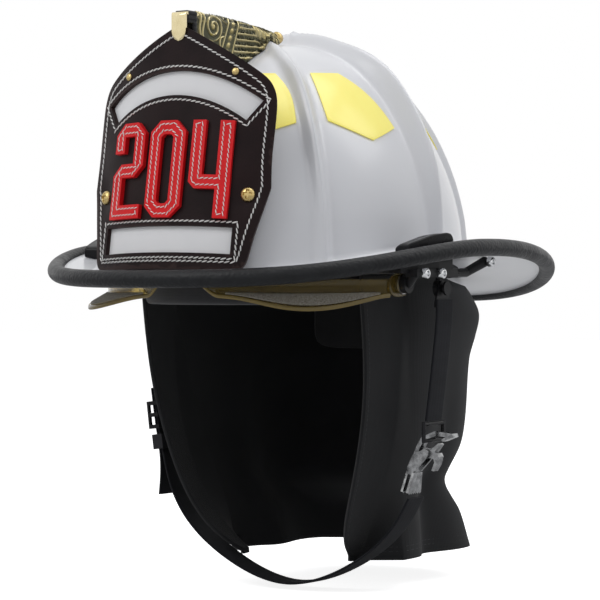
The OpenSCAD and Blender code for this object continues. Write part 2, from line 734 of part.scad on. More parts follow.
// Height of the shield's top edge: high over the face, below the brim at the temples
function shield_top_z(x) =
    let (
        hi = -pivot_down + shield_rad(min(abs(x), 66)) * sin(shield_top_a),
        lo = -6.2
    )
    lerp(hi, lo, ease((abs(x) - 52) / 20));
function shield_bot_z(x) = shield_low_z + notch_h * (1 - ease((abs(x) - 0.45 * notch_half) / (0.6 * notch_half)));
function shield_at(x, z, off) =
    let (r = shield_rad(x) - off, dz = z + pivot_down)
    [x, -pivot_y - sqrt(max(0, r * r - dz * dz)), z];
function lip_share(x) =
    let (k = clamp01((abs(x) - notch_half * 0.9) / (lip_end - notch_half * 0.9)))
    pow(max(0, sin(180 * pow(k, 1.25))), 0.8);
function lip_at(x, k, off) =
    let (
        p = shield_at(x, shield_bot_z(x), off),
        s = lip_share(x) * lip_out * k,
        o = unit([p[0] * 0.35, p[1] + pivot_y * 0.4, 0])
    )
    p + o * s * 0.9 - [0, 0, s * 0.46];
shield_cols = [for (i = [-18:18]) shield_x_end * i / 18];
shield_rows = [1, 0.8, 0.55, 0.28, 0];
function shield_grid(off, low) = concat(
    [for (v = shield_rows) [for (x = shield_cols)
        shield_at(x, lerp(shield_bot_z(x), shield_top_z(x), v), off)]],
    [for (k = [0.5, 1]) [for (x = shield_cols) lip_at(x, k, off) - [0, 0, low + (1 - lip_share(x)) * 0.6 * k]]]
);
ear_x = 106.6;
ear_r = 8;
module eye_shield() {
    color([0.75, 0.6, 0.15, 0.5]) {
        slab(shield_grid(0, 0), shield_grid(shield_t, 0.8));
        for (s = [0, 1]) mirror([s, 0, 0])
            difference() {
                hull() {
                    translate([ear_x, -pivot_y, -pivot_down])
                        rotate([0, 90, 0]) cylinder(r = ear_r, h = shield_t);
                    translate([ear_x, -pivot_y - 14, -pivot_down - 2])
                        rotate([0, 90, 0]) cylinder(r = 3, h = shield_t);
                }
                translate([ear_x - 3, -pivot_y, -pivot_down])
                    rotate([0, 90, 0]) cylinder(r = pivot_r + run_fit, h = 8);
            }
    }
}
// Washers between the shield's ears and the bracket's bosses
washer_t = boss_x - ear_x - shield_t - 2 * lay;
module shield_washers() {
    color([0.75, 0.75, 0.76])
        for (s = [0, 1]) mirror([s, 0, 0])
            translate([ear_x + shield_t + lay, -pivot_y, -pivot_down]) rotate([0, 90, 0])
                difference() {
                    cylinder(r = 6.5, h = washer_t);
                    translate([0, 0, -1]) cylinder(r = pivot_r + run_fit, h = washer_t + 2);
                }
}

// Impact liner: a foam cap inside the shell, set back at the front for the shield

liner_gap = 0.8;
liner_bottom = -3;
liner_cols = [for (i = [0:39]) i * 9];
liner_outer_e = inner_e - [liner_gap, liner_gap, liner_gap];
liner_inner_e = liner_outer_e - [liner_t, liner_t, liner_t + 4];
liner_front_t = 8.5;
// Half length of a cap: shorter at the front than at the back
function cap_pt(e, front, f, t) =
    let (l = cos(f) > 0 ? front : e[1])
    [e[0] * cos(t) * sin(f), -l * cos(t) * cos(f), e[2] * sin(t)];
liner_steps = [78, 64, 50, 36, 22, 9];
function liner_ring(e, front, t) = [for (f = liner_cols) cap_pt(e, front, f, t)];
function low_ring(e, front) = [for (f = liner_cols) let (p = cap_pt(e, front, f, 0)) [p[0], p[1], liner_bottom]];
module impact_liner() {
    rings = concat(
        [for (t = liner_steps) liner_ring(liner_outer_e, liner_front, t)],
        [low_ring(liner_outer_e, liner_front), low_ring(liner_inner_e, liner_front - liner_front_t)],
        [for (i = [len(liner_steps) - 1:-1:0])
            liner_ring(liner_inner_e, liner_front - liner_front_t, liner_steps[i])]
    );
    color([0.85, 0.83, 0.76]) ring_skin(rings, [0, 0, liner_outer_e[2]], [0, 0, liner_inner_e[2]]);
}

// Crown straps: three crossing webs that meet the liner at their ends and hang free above
strap_angles = [0, 60, 120];
strap_end_t = 9;
strap_step = 0.028;
// Share of the liner's size at which layer i of the straps runs
function strap_share(t, i) = 0.974 - (0.1 + strap_step * i) * ease((min(t, 180 - t) - strap_end_t) / 24);
function crown_edge(a, t, i, k, half) =
    let (
        e = liner_inner_e * (strap_share(t, i) - k),
        front = (liner_front - liner_front_t) * (strap_share(t, i) - k),
        s = sin(t),
        q = [sin(a), -cos(a)] * cos(t),
        l = q[1] < 0 ? front : e[1],
        p = [e[0] * q[0], l * q[1], e[2] * s],
        side = unit([l * cos(a), e[0] * sin(a), 0])
    )
    p + side * half;
strap_thick_share = crown_strap_t / liner_inner_e[2];
strap_pitch_t = (180 - 2 * strap_end_t) / 16;
module crown_strap(a, i) {
    steps = [for (j = [0:16]) strap_end_t + j * strap_pitch_t];
    slab(
        [for (t = steps) [for (s = [-0.5, 0.5]) crown_edge(a, t, i, 0, s * crown_strap_w)]],
        [for (t = steps) [for (s = [-0.5, 0.5]) crown_edge(a, t, i, strap_thick_share, s * crown_strap_w)]]
    );
}
module crown_straps() {
    color([0.15, 0.15, 0.16])
        for (i = [0:2]) crown_strap(strap_angles[i], i);
}
// Plastic keys that pin the strap ends to the liner, flat against the straps
key_r = 5;
module strap_key(low, high, across) {
    mid = (low + high) / 2;
    m = unit(cross(across - low, high - low));
    n = m * mid > 0 ? -m : m;
    translate(mid + n * seat) rotate([0, acos(n[2]), atan2(n[1], n[0])]) cylinder(r = key_r, h = 1.6);
}
module strap_keys() {
    color([0.1, 0.1, 0.1])
        for (i = [0:2], far = [0, 1]) {
            t0 = far == 0 ? strap_end_t : 180 - strap_end_t;
            t1 = far == 0 ? strap_end_t + strap_pitch_t : 180 - strap_end_t - strap_pitch_t;
            a = strap_angles[i];
            strap_key(
                crown_edge(a, t0, i, strap_thick_share, 0),
                crown_edge(a, t1, i, strap_thick_share, 0),
                crown_edge(a, t0, i, strap_thick_share, 5)
            );
        }
}

// Headband: a plastic band round the forehead, its ends open behind the temples
band_front = 88.5;
band_low = -3;
band_high = 18.4;
band_f_end = 100;
function band_pt(f, off, z) = [(band_half_w - off) * sin(f), -(band_front - off) * cos(f), z];
module headband() {
    fs = [for (i = [-15:15]) band_f_end * i / 15];
    color([0.14, 0.14, 0.15])
        slab(
            [for (z = [band_high, band_low]) [for (f = fs) band_pt(f, 0, z)]],
            [for (z = [band_high, band_low]) [for (f = fs) band_pt(f, band_t, z)]]
        );
}
// Padded brow band under the liner's front edge
brow_half_w = 87;
brow_front = 103;
brow_t = 9;
brow_low = -22;
brow_f = 72;
function brow_pt(f, off, z) = [(brow_half_w - off) * sin(f), -(brow_front - off) * cos(f), z];
module brow_pad() {
    fs = [for (i = [-12:12]) brow_f * i / 12];
    zs = [liner_bottom - seat, liner_bottom - 4, (liner_bottom + brow_low) / 2, brow_low + 3, brow_low];
    bulge = [1.6, 0.4, 0, 0.4, 2];
    function shape(f, i) = bulge[i] + 2.5 * pow(abs(f) / brow_f, 8);
    color([0.2, 0.2, 0.21])
        slab(
            [for (i = [0:4]) [for (f = fs) brow_pt(f, shape(f, i), zs[i])]],
            [for (i = [0:4]) [for (f = fs) brow_pt(f, brow_t - shape(f, i), zs[i])]]
        );
}

// Size ratchet at the nape: a pinion on the knob drives both band ends

nape_y = 108;
nape_z = -30;
pinion_r = 6;
pinion_teeth = 8;
tooth_h = 1.2;
rack_pitch = 2 * PI * pinion_r / pinion_teeth;
rack_t = 2.4;
housing_w = 66;
housing_h = 38;
housing_d = 9;
slot_d = rack_t + 2 * seat;
end_h = 8;
shaft_r = 4;
module ratchet_housing() {
    color([0.13, 0.13, 0.14])
        difference() {
            union() {
                translate([0, nape_y + housing_d / 2, nape_z]) rotate([90, 0, 0])
                    linear_extrude(housing_d) offset(r = 5) square([housing_w - 10, housing_h - 10], center = true);
                // Hangers up to the liner's rear edge
                for (s = [-1, 1])
                    translate([s * 22 - 6, nape_y + housing_d / 2 - 2.2, nape_z + housing_h / 2 - 2])
                        cube([12, 2.2, liner_bottom - seat - nape_z - housing_h / 2 + 2]);
                translate([-28, nape_y + housing_d / 2 - 2.2, liner_bottom - seat - 2.2])
                    cube([56, 4.4, 2.2]);
            }
            // Channel for the two racks and the pinion
            translate([-housing_w, nape_y - slot_d / 2, nape_z - pinion_r - tooth_h - end_h - seat])
                cube([2 * housing_w, slot_d, 2 * (pinion_r + tooth_h + end_h + seat)]);
            // Hole for the knob's shaft
            translate([0, nape_y - 1, nape_z]) rotate([-90, 0, 0]) cylinder(r = shaft_r + run_fit, h = 20);
        }
}
// A trapezoid tooth standing on the line y = 0
module tooth(root, tip, h) {
    polygon([[-root / 2, -0.3], [root / 2, -0.3], [root / 2, 0], [tip / 2, h], [-tip / 2, h], [-root / 2, 0]]);
}
pinion_root = pinion_r - tooth_h;
module pinion_shape() {
    circle(r = pinion_root);
    for (i = [0:pinion_teeth - 1])
        rotate(i * 360 / pinion_teeth) translate([0, pinion_root - 0.15]) tooth(2, 0.9, 2 * tooth_h + 0.15);
}
knob_r = 15;
knob_t = 9;
knob_from = nape_y + housing_d / 2 + seat;
module ratchet_knob() {
    color([0.1, 0.1, 0.11]) {
        translate([0, nape_y + rack_t / 2, nape_z]) rotate([90, 0, 0])
            linear_extrude(rack_t) pinion_shape();
        translate([0, nape_y + rack_t / 2 - 0.2, nape_z]) rotate([-90, 0, 0])
            cylinder(r = shaft_r, h = knob_from - nape_y - rack_t / 2 + 1);
        translate([0, knob_from, nape_z]) rotate([-90, 0, 0])
            difference() {
                cylinder(r = knob_r, h = knob_t);
                for (i = [0:15])
                    rotate(i * 22.5) translate([knob_r + 1.2, 0, -1]) cylinder(r = 2.2, h = knob_t + 2, $fn = 16);
            }
    }
}
// Toothed strap: teeth on its upper edge, meshing half a pitch from the pinion's tooth
end_from = -15;
end_to = 40;
module rack(tooth_shift) {
    translate([0, nape_y + rack_t / 2, 0]) rotate([90, 0, 0])
        linear_extrude(rack_t) {
            translate([end_from, -pinion_r - tooth_h - end_h])
                square([end_to - end_from, end_h - 0.15]);
            for (i = [-3:2])
                translate([(i + tooth_shift) * rack_pitch, -pinion_r - tooth_h - 0.3]) tooth(2, 0.9, 2 * tooth_h - 0.1);
        }
}
// Strap from the housing round to the temple: [plan x, plan y, rise over the rack]
end_route = [
    [38, 108, 0], [44, 108, 0], [49, 107.4, 0], [55, 103.5, 1], [63.5, 95, 3], [70.5, 79, 7], [75.5, 59, 13],
    [78.5, 36, 20], [79.8, 14, 26], [79.8, -8, 30]
];
band_end_h = 11;
module band_arm(z0, rise) {
    n = len(end_route);
    half = rack_t / 2 * 0.66;
    rings = [for (i = [0:n - 1])
        let (
            p = end_route[i],
            t = unit([end_route[min(i + 1, n - 1)][0] - end_route[max(i - 1, 0)][0],
                end_route[min(i + 1, n - 1)][1] - end_route[max(i - 1, 0)][1]]),
            s = [-t[1], t[0]] * half,
            z = z0 + p[2] * rise,
            h = i < 2 ? end_h / 2 - 0.4 : band_end_h / 2
        )
        [[p[0] + s[0], p[1] + s[1], z - h], [p[0] - s[0], p[1] - s[1], z - h],
         [p[0] - s[0], p[1] - s[1], z + h], [p[0] + s[0], p[1] + s[1], z + h]]];
    ring_skin(rings, [end_route[0][0], end_route[0][1], z0],
        [end_route[n - 1][0], end_route[n - 1][1], z0 + end_route[n - 1][2] * rise]);
}
rack_mid = pinion_r + tooth_h + end_h / 2;
temple_z = 6;
module band_end_left() {
    color([0.16, 0.16, 0.17]) {
        translate([0, 0, nape_z]) rack(0.5);
        band_arm(nape_z - rack_mid, (temple_z - nape_z + rack_mid) / 30);
    }
}
module band_end_right() {
    color([0.16, 0.16, 0.17]) {
        translate([0, 0, nape_z]) mirror([0, 0, 1]) mirror([1, 0, 0]) rack(0.5);
        mirror([1, 0, 0]) band_arm(nape_z + rack_mid, (temple_z - nape_z - rack_mid) / 30);
    }
}
// Soft pad between the housing and the head
nape_pad_t = 5;
module nape_pad() {
    color([0.12, 0.12, 0.12])
        translate([0, nape_y - housing_d / 2 - seat, nape_z - 2]) rotate([90, 0, 0])
            linear_extrude(nape_pad_t) offset(r = 8) square([housing_w + 6, housing_h - 10], center = true);
}

// Ear and neck curtain

// How far down the curtain a height is, from 0 below its top to 1 at the hem
function curtain_share(z) = clamp01((-20 - z) / (curtain_down - 22));
curtain_top = -3.4;
// Half width at the ears
function curtain_half(z) =
    93 - 47 * pow(curtain_share(z), 3);
// Reach of the neck part behind the dome's centre: bulge, waist and flared hem
function curtain_back(z) =
    lookup(z * 190 / curtain_down, [[-191, 176], [-165, 163], [-152, 146], [-138, 124], [-112, 141],
        [-60, 145], [-45, 155], [-30, 157], [-17, 142], [-8, 127.5], [-3, 125.5]]);
function neck_half(z) =
    lookup(z * 190 / curtain_down, [[-191, 69], [-165, 71], [-152, 75], [-138, 80], [-112, 87], [-60, 92], [-30, 93], [-3, 93]]);
// Front edge of each ear flap
function flap_x(z) = 86 - 42 * pow(curtain_share(z), 2.5);
function flap_y(z) = -44 + 23 * curtain_share(z) + 30 * pow(curtain_share(z), 10);
// Plan point: u from 0 at the nape to 1 at the flap's front edge
fold_u = 0.6;
function curtain_pt(u, z) =
    let (
        a = abs(u),
        s = u < 0 ? -1 : 1,
        w = neck_half(z),
        g = 90 * min(a / fold_u, 1),
        square = lerp(1, 0.667, clamp01((-5 - z) / 6)),
        y0 = 34 * curtain_share(z),
        neck = [w * spow(sin(g), square), y0 + (curtain_back(z) - y0) * spow(cos(g), square)],
        k = clamp01((a - fold_u) / (1 - fold_u)),
        side0 = [w, y0],
        side1 = [curtain_half(z), 4 + 16 * pow(curtain_share(z), 4)],
        front = [flap_x(z), flap_y(z)],
        flap = lerp(lerp(side0, side1, ease(k * 4)), front, k),
        q = a <= fold_u ? neck : flap,
        // Deep fold where the ear flap laps the neck part, and a soft one beside it
        f1 = 13 * exp(-pow((a - 0.5) / 0.055, 2)) * pow(curtain_share(z), 1.6),
        f2 = 5 * exp(-pow((a - 0.34) / 0.08, 2)) * curtain_share(z),
        n = unit([q[0], q[1] * 0.6 + 20])
    )
    [s * (q[0] - n[0] * (f1 - f2)), q[1] - n[1] * (f1 - f2), z];
curtain_u = [-1, -0.93, -0.84, -0.75, -0.67, -0.6, -0.55, -0.5, -0.45, -0.4, -0.34, -0.27, -0.19, -0.1, 0,
    0.1, 0.19, 0.27, 0.34, 0.4, 0.45, 0.5, 0.55, 0.6, 0.67, 0.75, 0.84, 0.93, 1];
curtain_z = [curtain_top, -9, -17, -30, -46, -70, -96, -118, -132, -139, -150, -166, -180, -190];
function curtain_n(u, z) =
    let (a = curtain_pt(min(1, u + 0.01), z), b = curtain_pt(max(-1, u - 0.01), z), t = unit([a[0] - b[0], a[1] - b[1]]))
    [-t[1], t[0], 0];
function curtain_row(z, off) = [for (u = curtain_u)
    let (hz = z * curtain_down / 190)
    curtain_pt(u, hz) - curtain_n(u, hz) * off];
module ear_curtain() {
    color([0.07, 0.07, 0.08])
        slab([for (z = curtain_z) curtain_row(z, 0)], [for (z = curtain_z) curtain_row(z, curtain_t)]);
}

// Hanging ring behind, under the brim

ring_y = dome_half_l + brim_behind - 32;
ring_wire = 2;
ring_half_w = 17;
ring_drop = 30;
clip_w = 18;
function under_brim(y) =
    let (f = 180, p0 = brim_pt(f, 0), p1 = brim_pt(f, 1), k = (y - p0[1]) / (p1[1] - p0[1]))
    brim_pt(f, k)[2] - brim_t;
clip_top = under_brim(ring_y + 8) - seat - 0.6;
eye_z = clip_top - 2 - ring_wire - run_fit - 0.6;
module ring_clip() {
    color([0.7, 0.7, 0.71])
        difference() {
            union() {
                translate([-clip_w / 2, ring_y - 14, clip_top - 1.6]) cube([clip_w, 22, 1.6]);
                hull() {
                    translate([-clip_w / 2, ring_y, eye_z]) rotate([0, 90, 0]) cylinder(r = ring_wire + 1.6, h = clip_w);
                    translate([-clip_w / 2, ring_y - ring_wire - 1.6, clip_top - 1.2])
                        cube([clip_w, 2 * ring_wire + 3.2, 0.6]);
                }
            }
            translate([-clip_w / 2 - 1, ring_y, eye_z]) rotate([0, 90, 0])
                cylinder(r = ring_wire + run_fit, h = clip_w + 2);
        }
}
module clip_rivets() {
    color([0.8, 0.8, 0.8])
        for (s = [-1, 1])
            translate([s * 5, ring_y - 10, clip_top - 1.6 - lay]) rotate([180, 0, 0])
                rotate_extrude($fn = 24) polygon([[0, 0], [2.6, 0], [2.2, 0.9], [1.2, 1.5], [0, 1.6]]);
}
// Ring: a straight bar in the clip, two legs and a round bow
module hang_ring() {
    color([0.78, 0.78, 0.8]) {
        translate([-ring_half_w, ring_y, eye_z]) rotate([0, 90, 0]) cylinder(r = ring_wire, h = 2 * ring_half_w);
        for (s = [-1, 1])
            translate([s * ring_half_w, ring_y, eye_z - ring_drop + ring_half_w])
                cylinder(r = ring_wire, h = ring_drop - ring_half_w);
        for (s = [-1, 1]) translate([s * ring_half_w, ring_y, eye_z]) sphere(r = ring_wire);
        translate([0, ring_y, eye_z - ring_drop + ring_half_w]) rotate([90, 180, 0])
            rotate_extrude(angle = 180, $fn = 64) translate([ring_half_w, 0]) circle(r = ring_wire);
    }
}

// Chinstrap, in the plane x-z at strap_y

// Half route of the webbing, from the anchor down to the chin
strap_route = [
    [strap_half_w, anchor_z - 3], [strap_half_w - 1, -30], [strap_half_w - 3, -52], [strap_half_w - 6.5, -80],
    [strap_half_w - 10, -104], [strap_half_w - 14, -124], [strap_half_w - 20, -146], [strap_half_w - 29, -162],
    [strap_half_w - 40, -174], [strap_half_w - 52, -183.5], [strap_half_w - 66, -192],
    [strap_half_w - 82, -199.5], [strap_half_w - 98, -204.5], [0, -206.5]
];
strap_plate_t = 1.2;
// Metal plates that turn on the anchor pins, the webbing sewn below them
module anchor_plates() {
    color([0.6, 0.6, 0.62])
        for (s = [0, 1]) mirror([s, 0, 0])
            translate([lug_x + lug_t / 2 + seat, strap_y, anchor_z]) rotate([0, 90, 0])
                difference() {
                    hull() {
                        cylinder(r = 5, h = strap_plate_t);
                        translate([9, -web_w / 2 + 1, 0]) cube([3, web_w - 2, strap_plate_t]);
                    }
                    translate([0, 0, -1]) cylinder(r = strap_pin_r + run_fit, h = strap_plate_t + 2);
                }
}
plate_out = lug_x + lug_t / 2 + seat + strap_plate_t + web_t / 2 + lay;
clasp_x = strap_half_w - 13.5;
clasp_z = -124;
clasp_tilt = 12;
ring_at_z = -104;
function strap_stretch(i0, i1) = [for (i = [i0:i1]) strap_route[i]];
module strap_upper() {
    color([0.09, 0.09, 0.1])
        web_strip(concat([[plate_out, anchor_z - 7], [plate_out, anchor_z - 14], [strap_half_w + 1, -34]],
            [[strap_half_w - 1.6, -56], [strap_half_w - 4.6, -80], [ring_top[0], ring_top[1] + strap_bar_r + 0.6]]),
            web_w, web_t, strap_y);
}
// Ring on the strap's sewn end, its lower bar in the clasp's hook
module in_clasp() {
    translate([clasp_x, strap_y, clasp_z]) rotate([0, clasp_tilt, 0]) children();
}
strap_bar_r = 1.3;
strap_ring_half = web_w / 2 + 2;
strap_ring_h = 10.6;
hook_bar = [3.2, 16.4];
// Middle of the ring's upper bar, in the plane of the strap
ring_top = [clasp_x, clasp_z + strap_ring_h] + [
    hook_bar[0] * cos(clasp_tilt) + hook_bar[1] * sin(clasp_tilt),
    hook_bar[1] * cos(clasp_tilt) - hook_bar[0] * sin(clasp_tilt)
];
module strap_ring() {
    color([0.1, 0.1, 0.1])
        translate([ring_top[0], strap_y, ring_top[1] - strap_ring_h]) {
            for (z = [0, strap_ring_h])
                translate([0, -strap_ring_half, z]) rotate([-90, 0, 0])
                    cylinder(r = strap_bar_r, h = 2 * strap_ring_half);
            for (s = [-1, 1])
                translate([0, s * strap_ring_half, -strap_bar_r])
                    cylinder(r = strap_bar_r, h = strap_ring_h + 2 * strap_bar_r);
        }
}
// Webbing from the clasp round the chin and up to the other anchor
module strap_chin() {
    left = [for (i = [6:len(strap_route) - 1]) strap_route[i]];
    right = [for (i = [len(strap_route) - 2:-1:1]) [-strap_route[i][0], strap_route[i][1]]];
    color([0.09, 0.09, 0.1])
        web_strip(concat(left, right, [[-plate_out, anchor_z - 14], [-plate_out, anchor_z - 7]]),
            web_w, web_t, strap_y);
}
// Loose end of the webbing, outside the slide and the keeper
tail_gap = web_t + 0.5;
module strap_tail() {
    color([0.09, 0.09, 0.1])
        web_strip([for (p = [[-strap_half_w + 6.5, -80], [-strap_half_w + 10, -104], [-strap_half_w + 14, -124],
            [-strap_half_w + 14.4, -138], [-strap_half_w + 13, -152]])
            p - [tail_gap, 0]], web_w - 1, web_t, strap_y);
}
// Three-bar slide and a rubber keeper on the wearer's right
slide_z = -98;
slide_tilt = -7;
keeper_z = -116;
function route_x(z) = lookup(z, [for (i = [len(strap_route) - 1:-1:0]) [strap_route[i][1], strap_route[i][0]]]);
module around_right(z, tilt) {
    translate([-route_x(z) - tail_gap / 2, strap_y, z]) rotate([0, tilt, 0]) children();
}
loop_in_t = 2 * web_t + 1.6;
module ladder_slide() {
    color([0.75, 0.75, 0.77])
        around_right(slide_z, slide_tilt)
            for (z = [-8, 0, 8])
                difference() {
                    translate([-loop_in_t / 2 - 1.6, -web_w / 2 - 3, z - 1.3])
                        cube([loop_in_t + 3.2, web_w + 6, 2.6]);
                    translate([-loop_in_t / 2, -web_w / 2 - 0.8, z - 2]) cube([loop_in_t, web_w + 1.6, 4]);
                }
    color([0.75, 0.75, 0.77])
        around_right(slide_z, slide_tilt)
            for (s = [-1, 1])
                translate([-loop_in_t / 2 - 1.6, s * (web_w / 2 + 1.9) - 1.1, -8]) cube([1.6, 2.2, 16]);
}
module strap_keeper() {
    color([0.12, 0.12, 0.12])
        around_right(keeper_z, slide_tilt - 1)
            difference() {
                translate([-loop_in_t / 2 - 1.4, -web_w / 2 - 2.2, -5]) cube([loop_in_t + 2.8, web_w + 4.4, 10]);
                translate([-loop_in_t / 2, -web_w / 2 - 0.8, -6]) cube([loop_in_t, web_w + 1.6, 12]);
            }
}

// Quick-release clasp: an open hook on a cheeked body, with jaws that grip the webbing

hook_w = 7;
hook_outer = [[-9.5, -4], [-7.3, 5.2], [-6.2, 10.3], [-4, 16.6], [4.9, 22.8], [17.6, 24.2], [18.8, 22.2]];
hook_inner = [[11.8, 17.6], [10.6, 18.4], [13.4, 21], [6.8, 20.2], [-1.4, 15.6], [-3.4, 10.2], [-4.4, 5], [-6.2, -4]];
pin_x = 1.5;
pin_z = 7.6;
latch_r = 2;
module quick_clasp() {
    color([0.8, 0.8, 0.82])
        in_clasp() {
            // Hook
            translate([0, hook_w / 2, 0]) rotate([90, 0, 0]) linear_extrude(hook_w)
                polygon(concat(hook_outer, hook_inner));
            // Cheeks either side of the latch
            for (s = [-1, 1])
                hull() for (p = [[-6, -4, 3], [-3.6, 2.6, 3.6], [pin_x, pin_z, 2.6]])
                    translate([p[0], s * (hook_w / 2 + 0.9) - 0.9, p[1]])
                        rotate([-90, 0, 0]) cylinder(r = p[2], h = 1.8);
            // Pin through both cheeks
            translate([pin_x, -hook_w / 2 - 1, pin_z]) rotate([-90, 0, 0])
                cylinder(r = latch_r, h = hook_w + 2);
            // Neck and the two flared jaws
            translate([-7.6, -hook_w / 2 - 1.8, -8]) cube([3.2, hook_w + 3.6, 6]);
            clasp_jaw(-9.2, 1.6);
            clasp_jaw(-9.2 + 1.6 + web_t + 2 * seat, 1.8);
            translate([-9.2, -hook_w / 2 - 1.8, -8.4]) cube([web_t + 2 * seat + 3.4, hook_w + 3.6, 1.8]);
        }
}
// Jaw plate across the webbing, with a toothed lower edge
module clasp_jaw(x, t) {
    n = 6;
    translate([x, 0, -7]) rotate([90, 0, 90]) linear_extrude(t)
        polygon(concat(
            [[hook_w / 2 + 1.8, 0], [-hook_w / 2 - 1.8, 0]],
            [for (i = [0:2 * n]) [-8 + i * 16 / (2 * n), -13 - (i % 2) * 1]]
        ));
}
// Latch: a gate that closes the hook and a thumb lever, in one rocking piece
latch_w = hook_w - 1;
module clasp_latch() {
    color([0.88, 0.88, 0.9])
        in_clasp()
            translate([0, latch_w / 2, 0]) rotate([90, 0, 0])
                difference() {
                    linear_extrude(latch_w)
                        polygon(concat(
                            [for (a = [45:15:315])
                                [pin_x + (latch_r + 1.6) * cos(a), pin_z + (latch_r + 1.6) * sin(a)]],
                            [[7.4, 5], [8.4, 3], [7.4, -2.4], [8.8, -2.6], [10.8, 2.4], [11, 7.4],
                                [9.4, 9.4], [7.2, 9.6], [9.8, 15], [8.6, 15.6], [5.2, 11.6]]
                        ));
                    translate([pin_x, pin_z, -1]) cylinder(r = latch_r + run_fit, h = latch_w + 2);
                }
}

outer_shell();
edge_trim();
reflective_patches();
leather_front();
leather_backing();
arch_banner();
lower_banner();
front_screws();
front_rivets();
front_spacers();
crown_holder();
holder_tongue();
holder_finial();
holder_bumper();
side_block_left();
side_block_right();
side_bracket_left();
side_bracket_right();
bracket_screws();
eye_shield();
shield_washers();
impact_liner();
crown_straps();
strap_keys();
headband();
brow_pad();
ratchet_housing();
ratchet_knob();
band_end_left();
band_end_right();
nape_pad();
ear_curtain();
ring_clip();
clip_rivets();
hang_ring();
strap_upper();
strap_ring();
strap_chin();
strap_tail();
anchor_plates();
ladder_slide();
strap_keeper();
quick_clasp();
clasp_latch();
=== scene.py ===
# A traditional fire helmet, front towards -Y and the wearer's left towards +X. Each section makes
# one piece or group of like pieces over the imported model, in the order the helmet is put together.
import math
import bmesh
import bpy
from mathutils import Matrix, Vector


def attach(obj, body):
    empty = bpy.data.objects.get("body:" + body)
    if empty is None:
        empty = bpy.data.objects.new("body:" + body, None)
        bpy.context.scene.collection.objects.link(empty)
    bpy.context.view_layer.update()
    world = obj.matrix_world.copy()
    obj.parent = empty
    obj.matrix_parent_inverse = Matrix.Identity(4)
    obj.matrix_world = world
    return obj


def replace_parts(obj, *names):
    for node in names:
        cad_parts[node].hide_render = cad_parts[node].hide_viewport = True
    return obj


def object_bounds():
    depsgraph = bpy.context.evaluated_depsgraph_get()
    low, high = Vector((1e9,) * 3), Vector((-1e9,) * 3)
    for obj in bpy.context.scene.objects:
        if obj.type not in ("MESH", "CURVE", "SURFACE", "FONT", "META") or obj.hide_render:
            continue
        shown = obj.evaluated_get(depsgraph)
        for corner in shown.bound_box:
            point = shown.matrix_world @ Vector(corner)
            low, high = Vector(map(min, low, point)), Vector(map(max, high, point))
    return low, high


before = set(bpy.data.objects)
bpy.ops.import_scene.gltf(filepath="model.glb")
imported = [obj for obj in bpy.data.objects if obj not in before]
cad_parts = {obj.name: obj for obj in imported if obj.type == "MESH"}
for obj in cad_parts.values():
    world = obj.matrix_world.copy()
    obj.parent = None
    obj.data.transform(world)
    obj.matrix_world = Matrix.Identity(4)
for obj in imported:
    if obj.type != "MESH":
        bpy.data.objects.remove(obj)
cad_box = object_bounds()

# Camera, floor and light. A long lens stands level with the brim, 33 degrees round to the wearer's
# left. Soft square lamps hang over the front, the top and the left rear, in a pale room with a
# white backdrop.
lens = bpy.data.cameras.new("camera")
lens.lens = 154.23
lens.sensor_width = 36
lens.clip_end = 50
camera = bpy.data.objects.new("camera", lens)
bpy.context.scene.collection.objects.link(camera)
camera.matrix_world = Matrix((
    (0.83401, -0.00362, 0.55174, 0.939215),
    (0.55175, 0.00812, -0.83397, -1.40460),
    (-0.00147, 0.99996, 0.00877, -0.004963),
    (0, 0, 0, 1)))
bpy.context.scene.camera = camera


def lamp(name, place, aim, size, power):
    """A square soft lamp at place that shines towards aim, in metres and watts."""
    light = bpy.data.lights.new(name, "AREA")
    light.size = size
    light.energy = power
    obj = bpy.data.objects.new(name, light)
    bpy.context.scene.collection.objects.link(obj)
    obj.location = place
    obj.rotation_euler = (Vector(aim) - Vector(place)).to_track_quat("-Z", "Y").to_euler()


lamp("key_lamp", (-0.5, -1.5, 1.5), (0, 0, 0.05), 1.1, 12.5)
lamp("top_lamp", (0.4, 0.4, 2.0), (0, 0, 0.1), 1.1, 10)
lamp("rear_lamp", (1.25, 0.85, 1.5), (0, 0, 0.05), 0.8, 5)


def feed(tree, node, sockets):
    """Gives each named or numbered socket of a node a value, or another node's output."""
    for key, value in sockets.items():
        if isinstance(value, bpy.types.NodeSocket):
            tree.links.new(value, node.inputs[key])
        else:
            node.inputs[key].default_value = value


def added(tree, kind, sockets=(), **settings):
    """A new node of a tree with its settings and what goes into its sockets."""
    node = tree.nodes.new(kind)
    for key, value in settings.items():
        setattr(node, key, value)
    feed(tree, node, dict(sockets))
    return node


world = bpy.data.worlds.new("room")
bpy.context.scene.world = world
world.use_nodes = True
room = world.node_tree
room.nodes.clear()
way = added(room, "ShaderNodeTexCoord")
part = added(room, "ShaderNodeSeparateXYZ", {0: way.outputs["Generated"]})
lift = added(room, "ShaderNodeMapRange", {"From Min": -1, "Value": part.outputs["Z"]})
sky = added(room, "ShaderNodeValToRGB", {"Fac": lift.outputs["Result"]})
sky.color_ramp.elements[0].color = (0.08, 0.08, 0.085, 1)
sky.color_ramp.elements[1].color = (0.52, 0.53, 0.55, 1)
sky.color_ramp.elements.new(0.52).color = (0.17, 0.17, 0.175, 1)
room_light = added(room, "ShaderNodeBackground", {"Color": sky.outputs["Color"]})
backdrop = added(room, "ShaderNodeBackground", {"Color": (1, 1, 1, 1)})
rays = added(room, "ShaderNodeLightPath").outputs
seen = added(room, "ShaderNodeMath", {0: rays["Is Camera Ray"], 1: rays["Is Glossy Ray"]},
             operation="MAXIMUM")
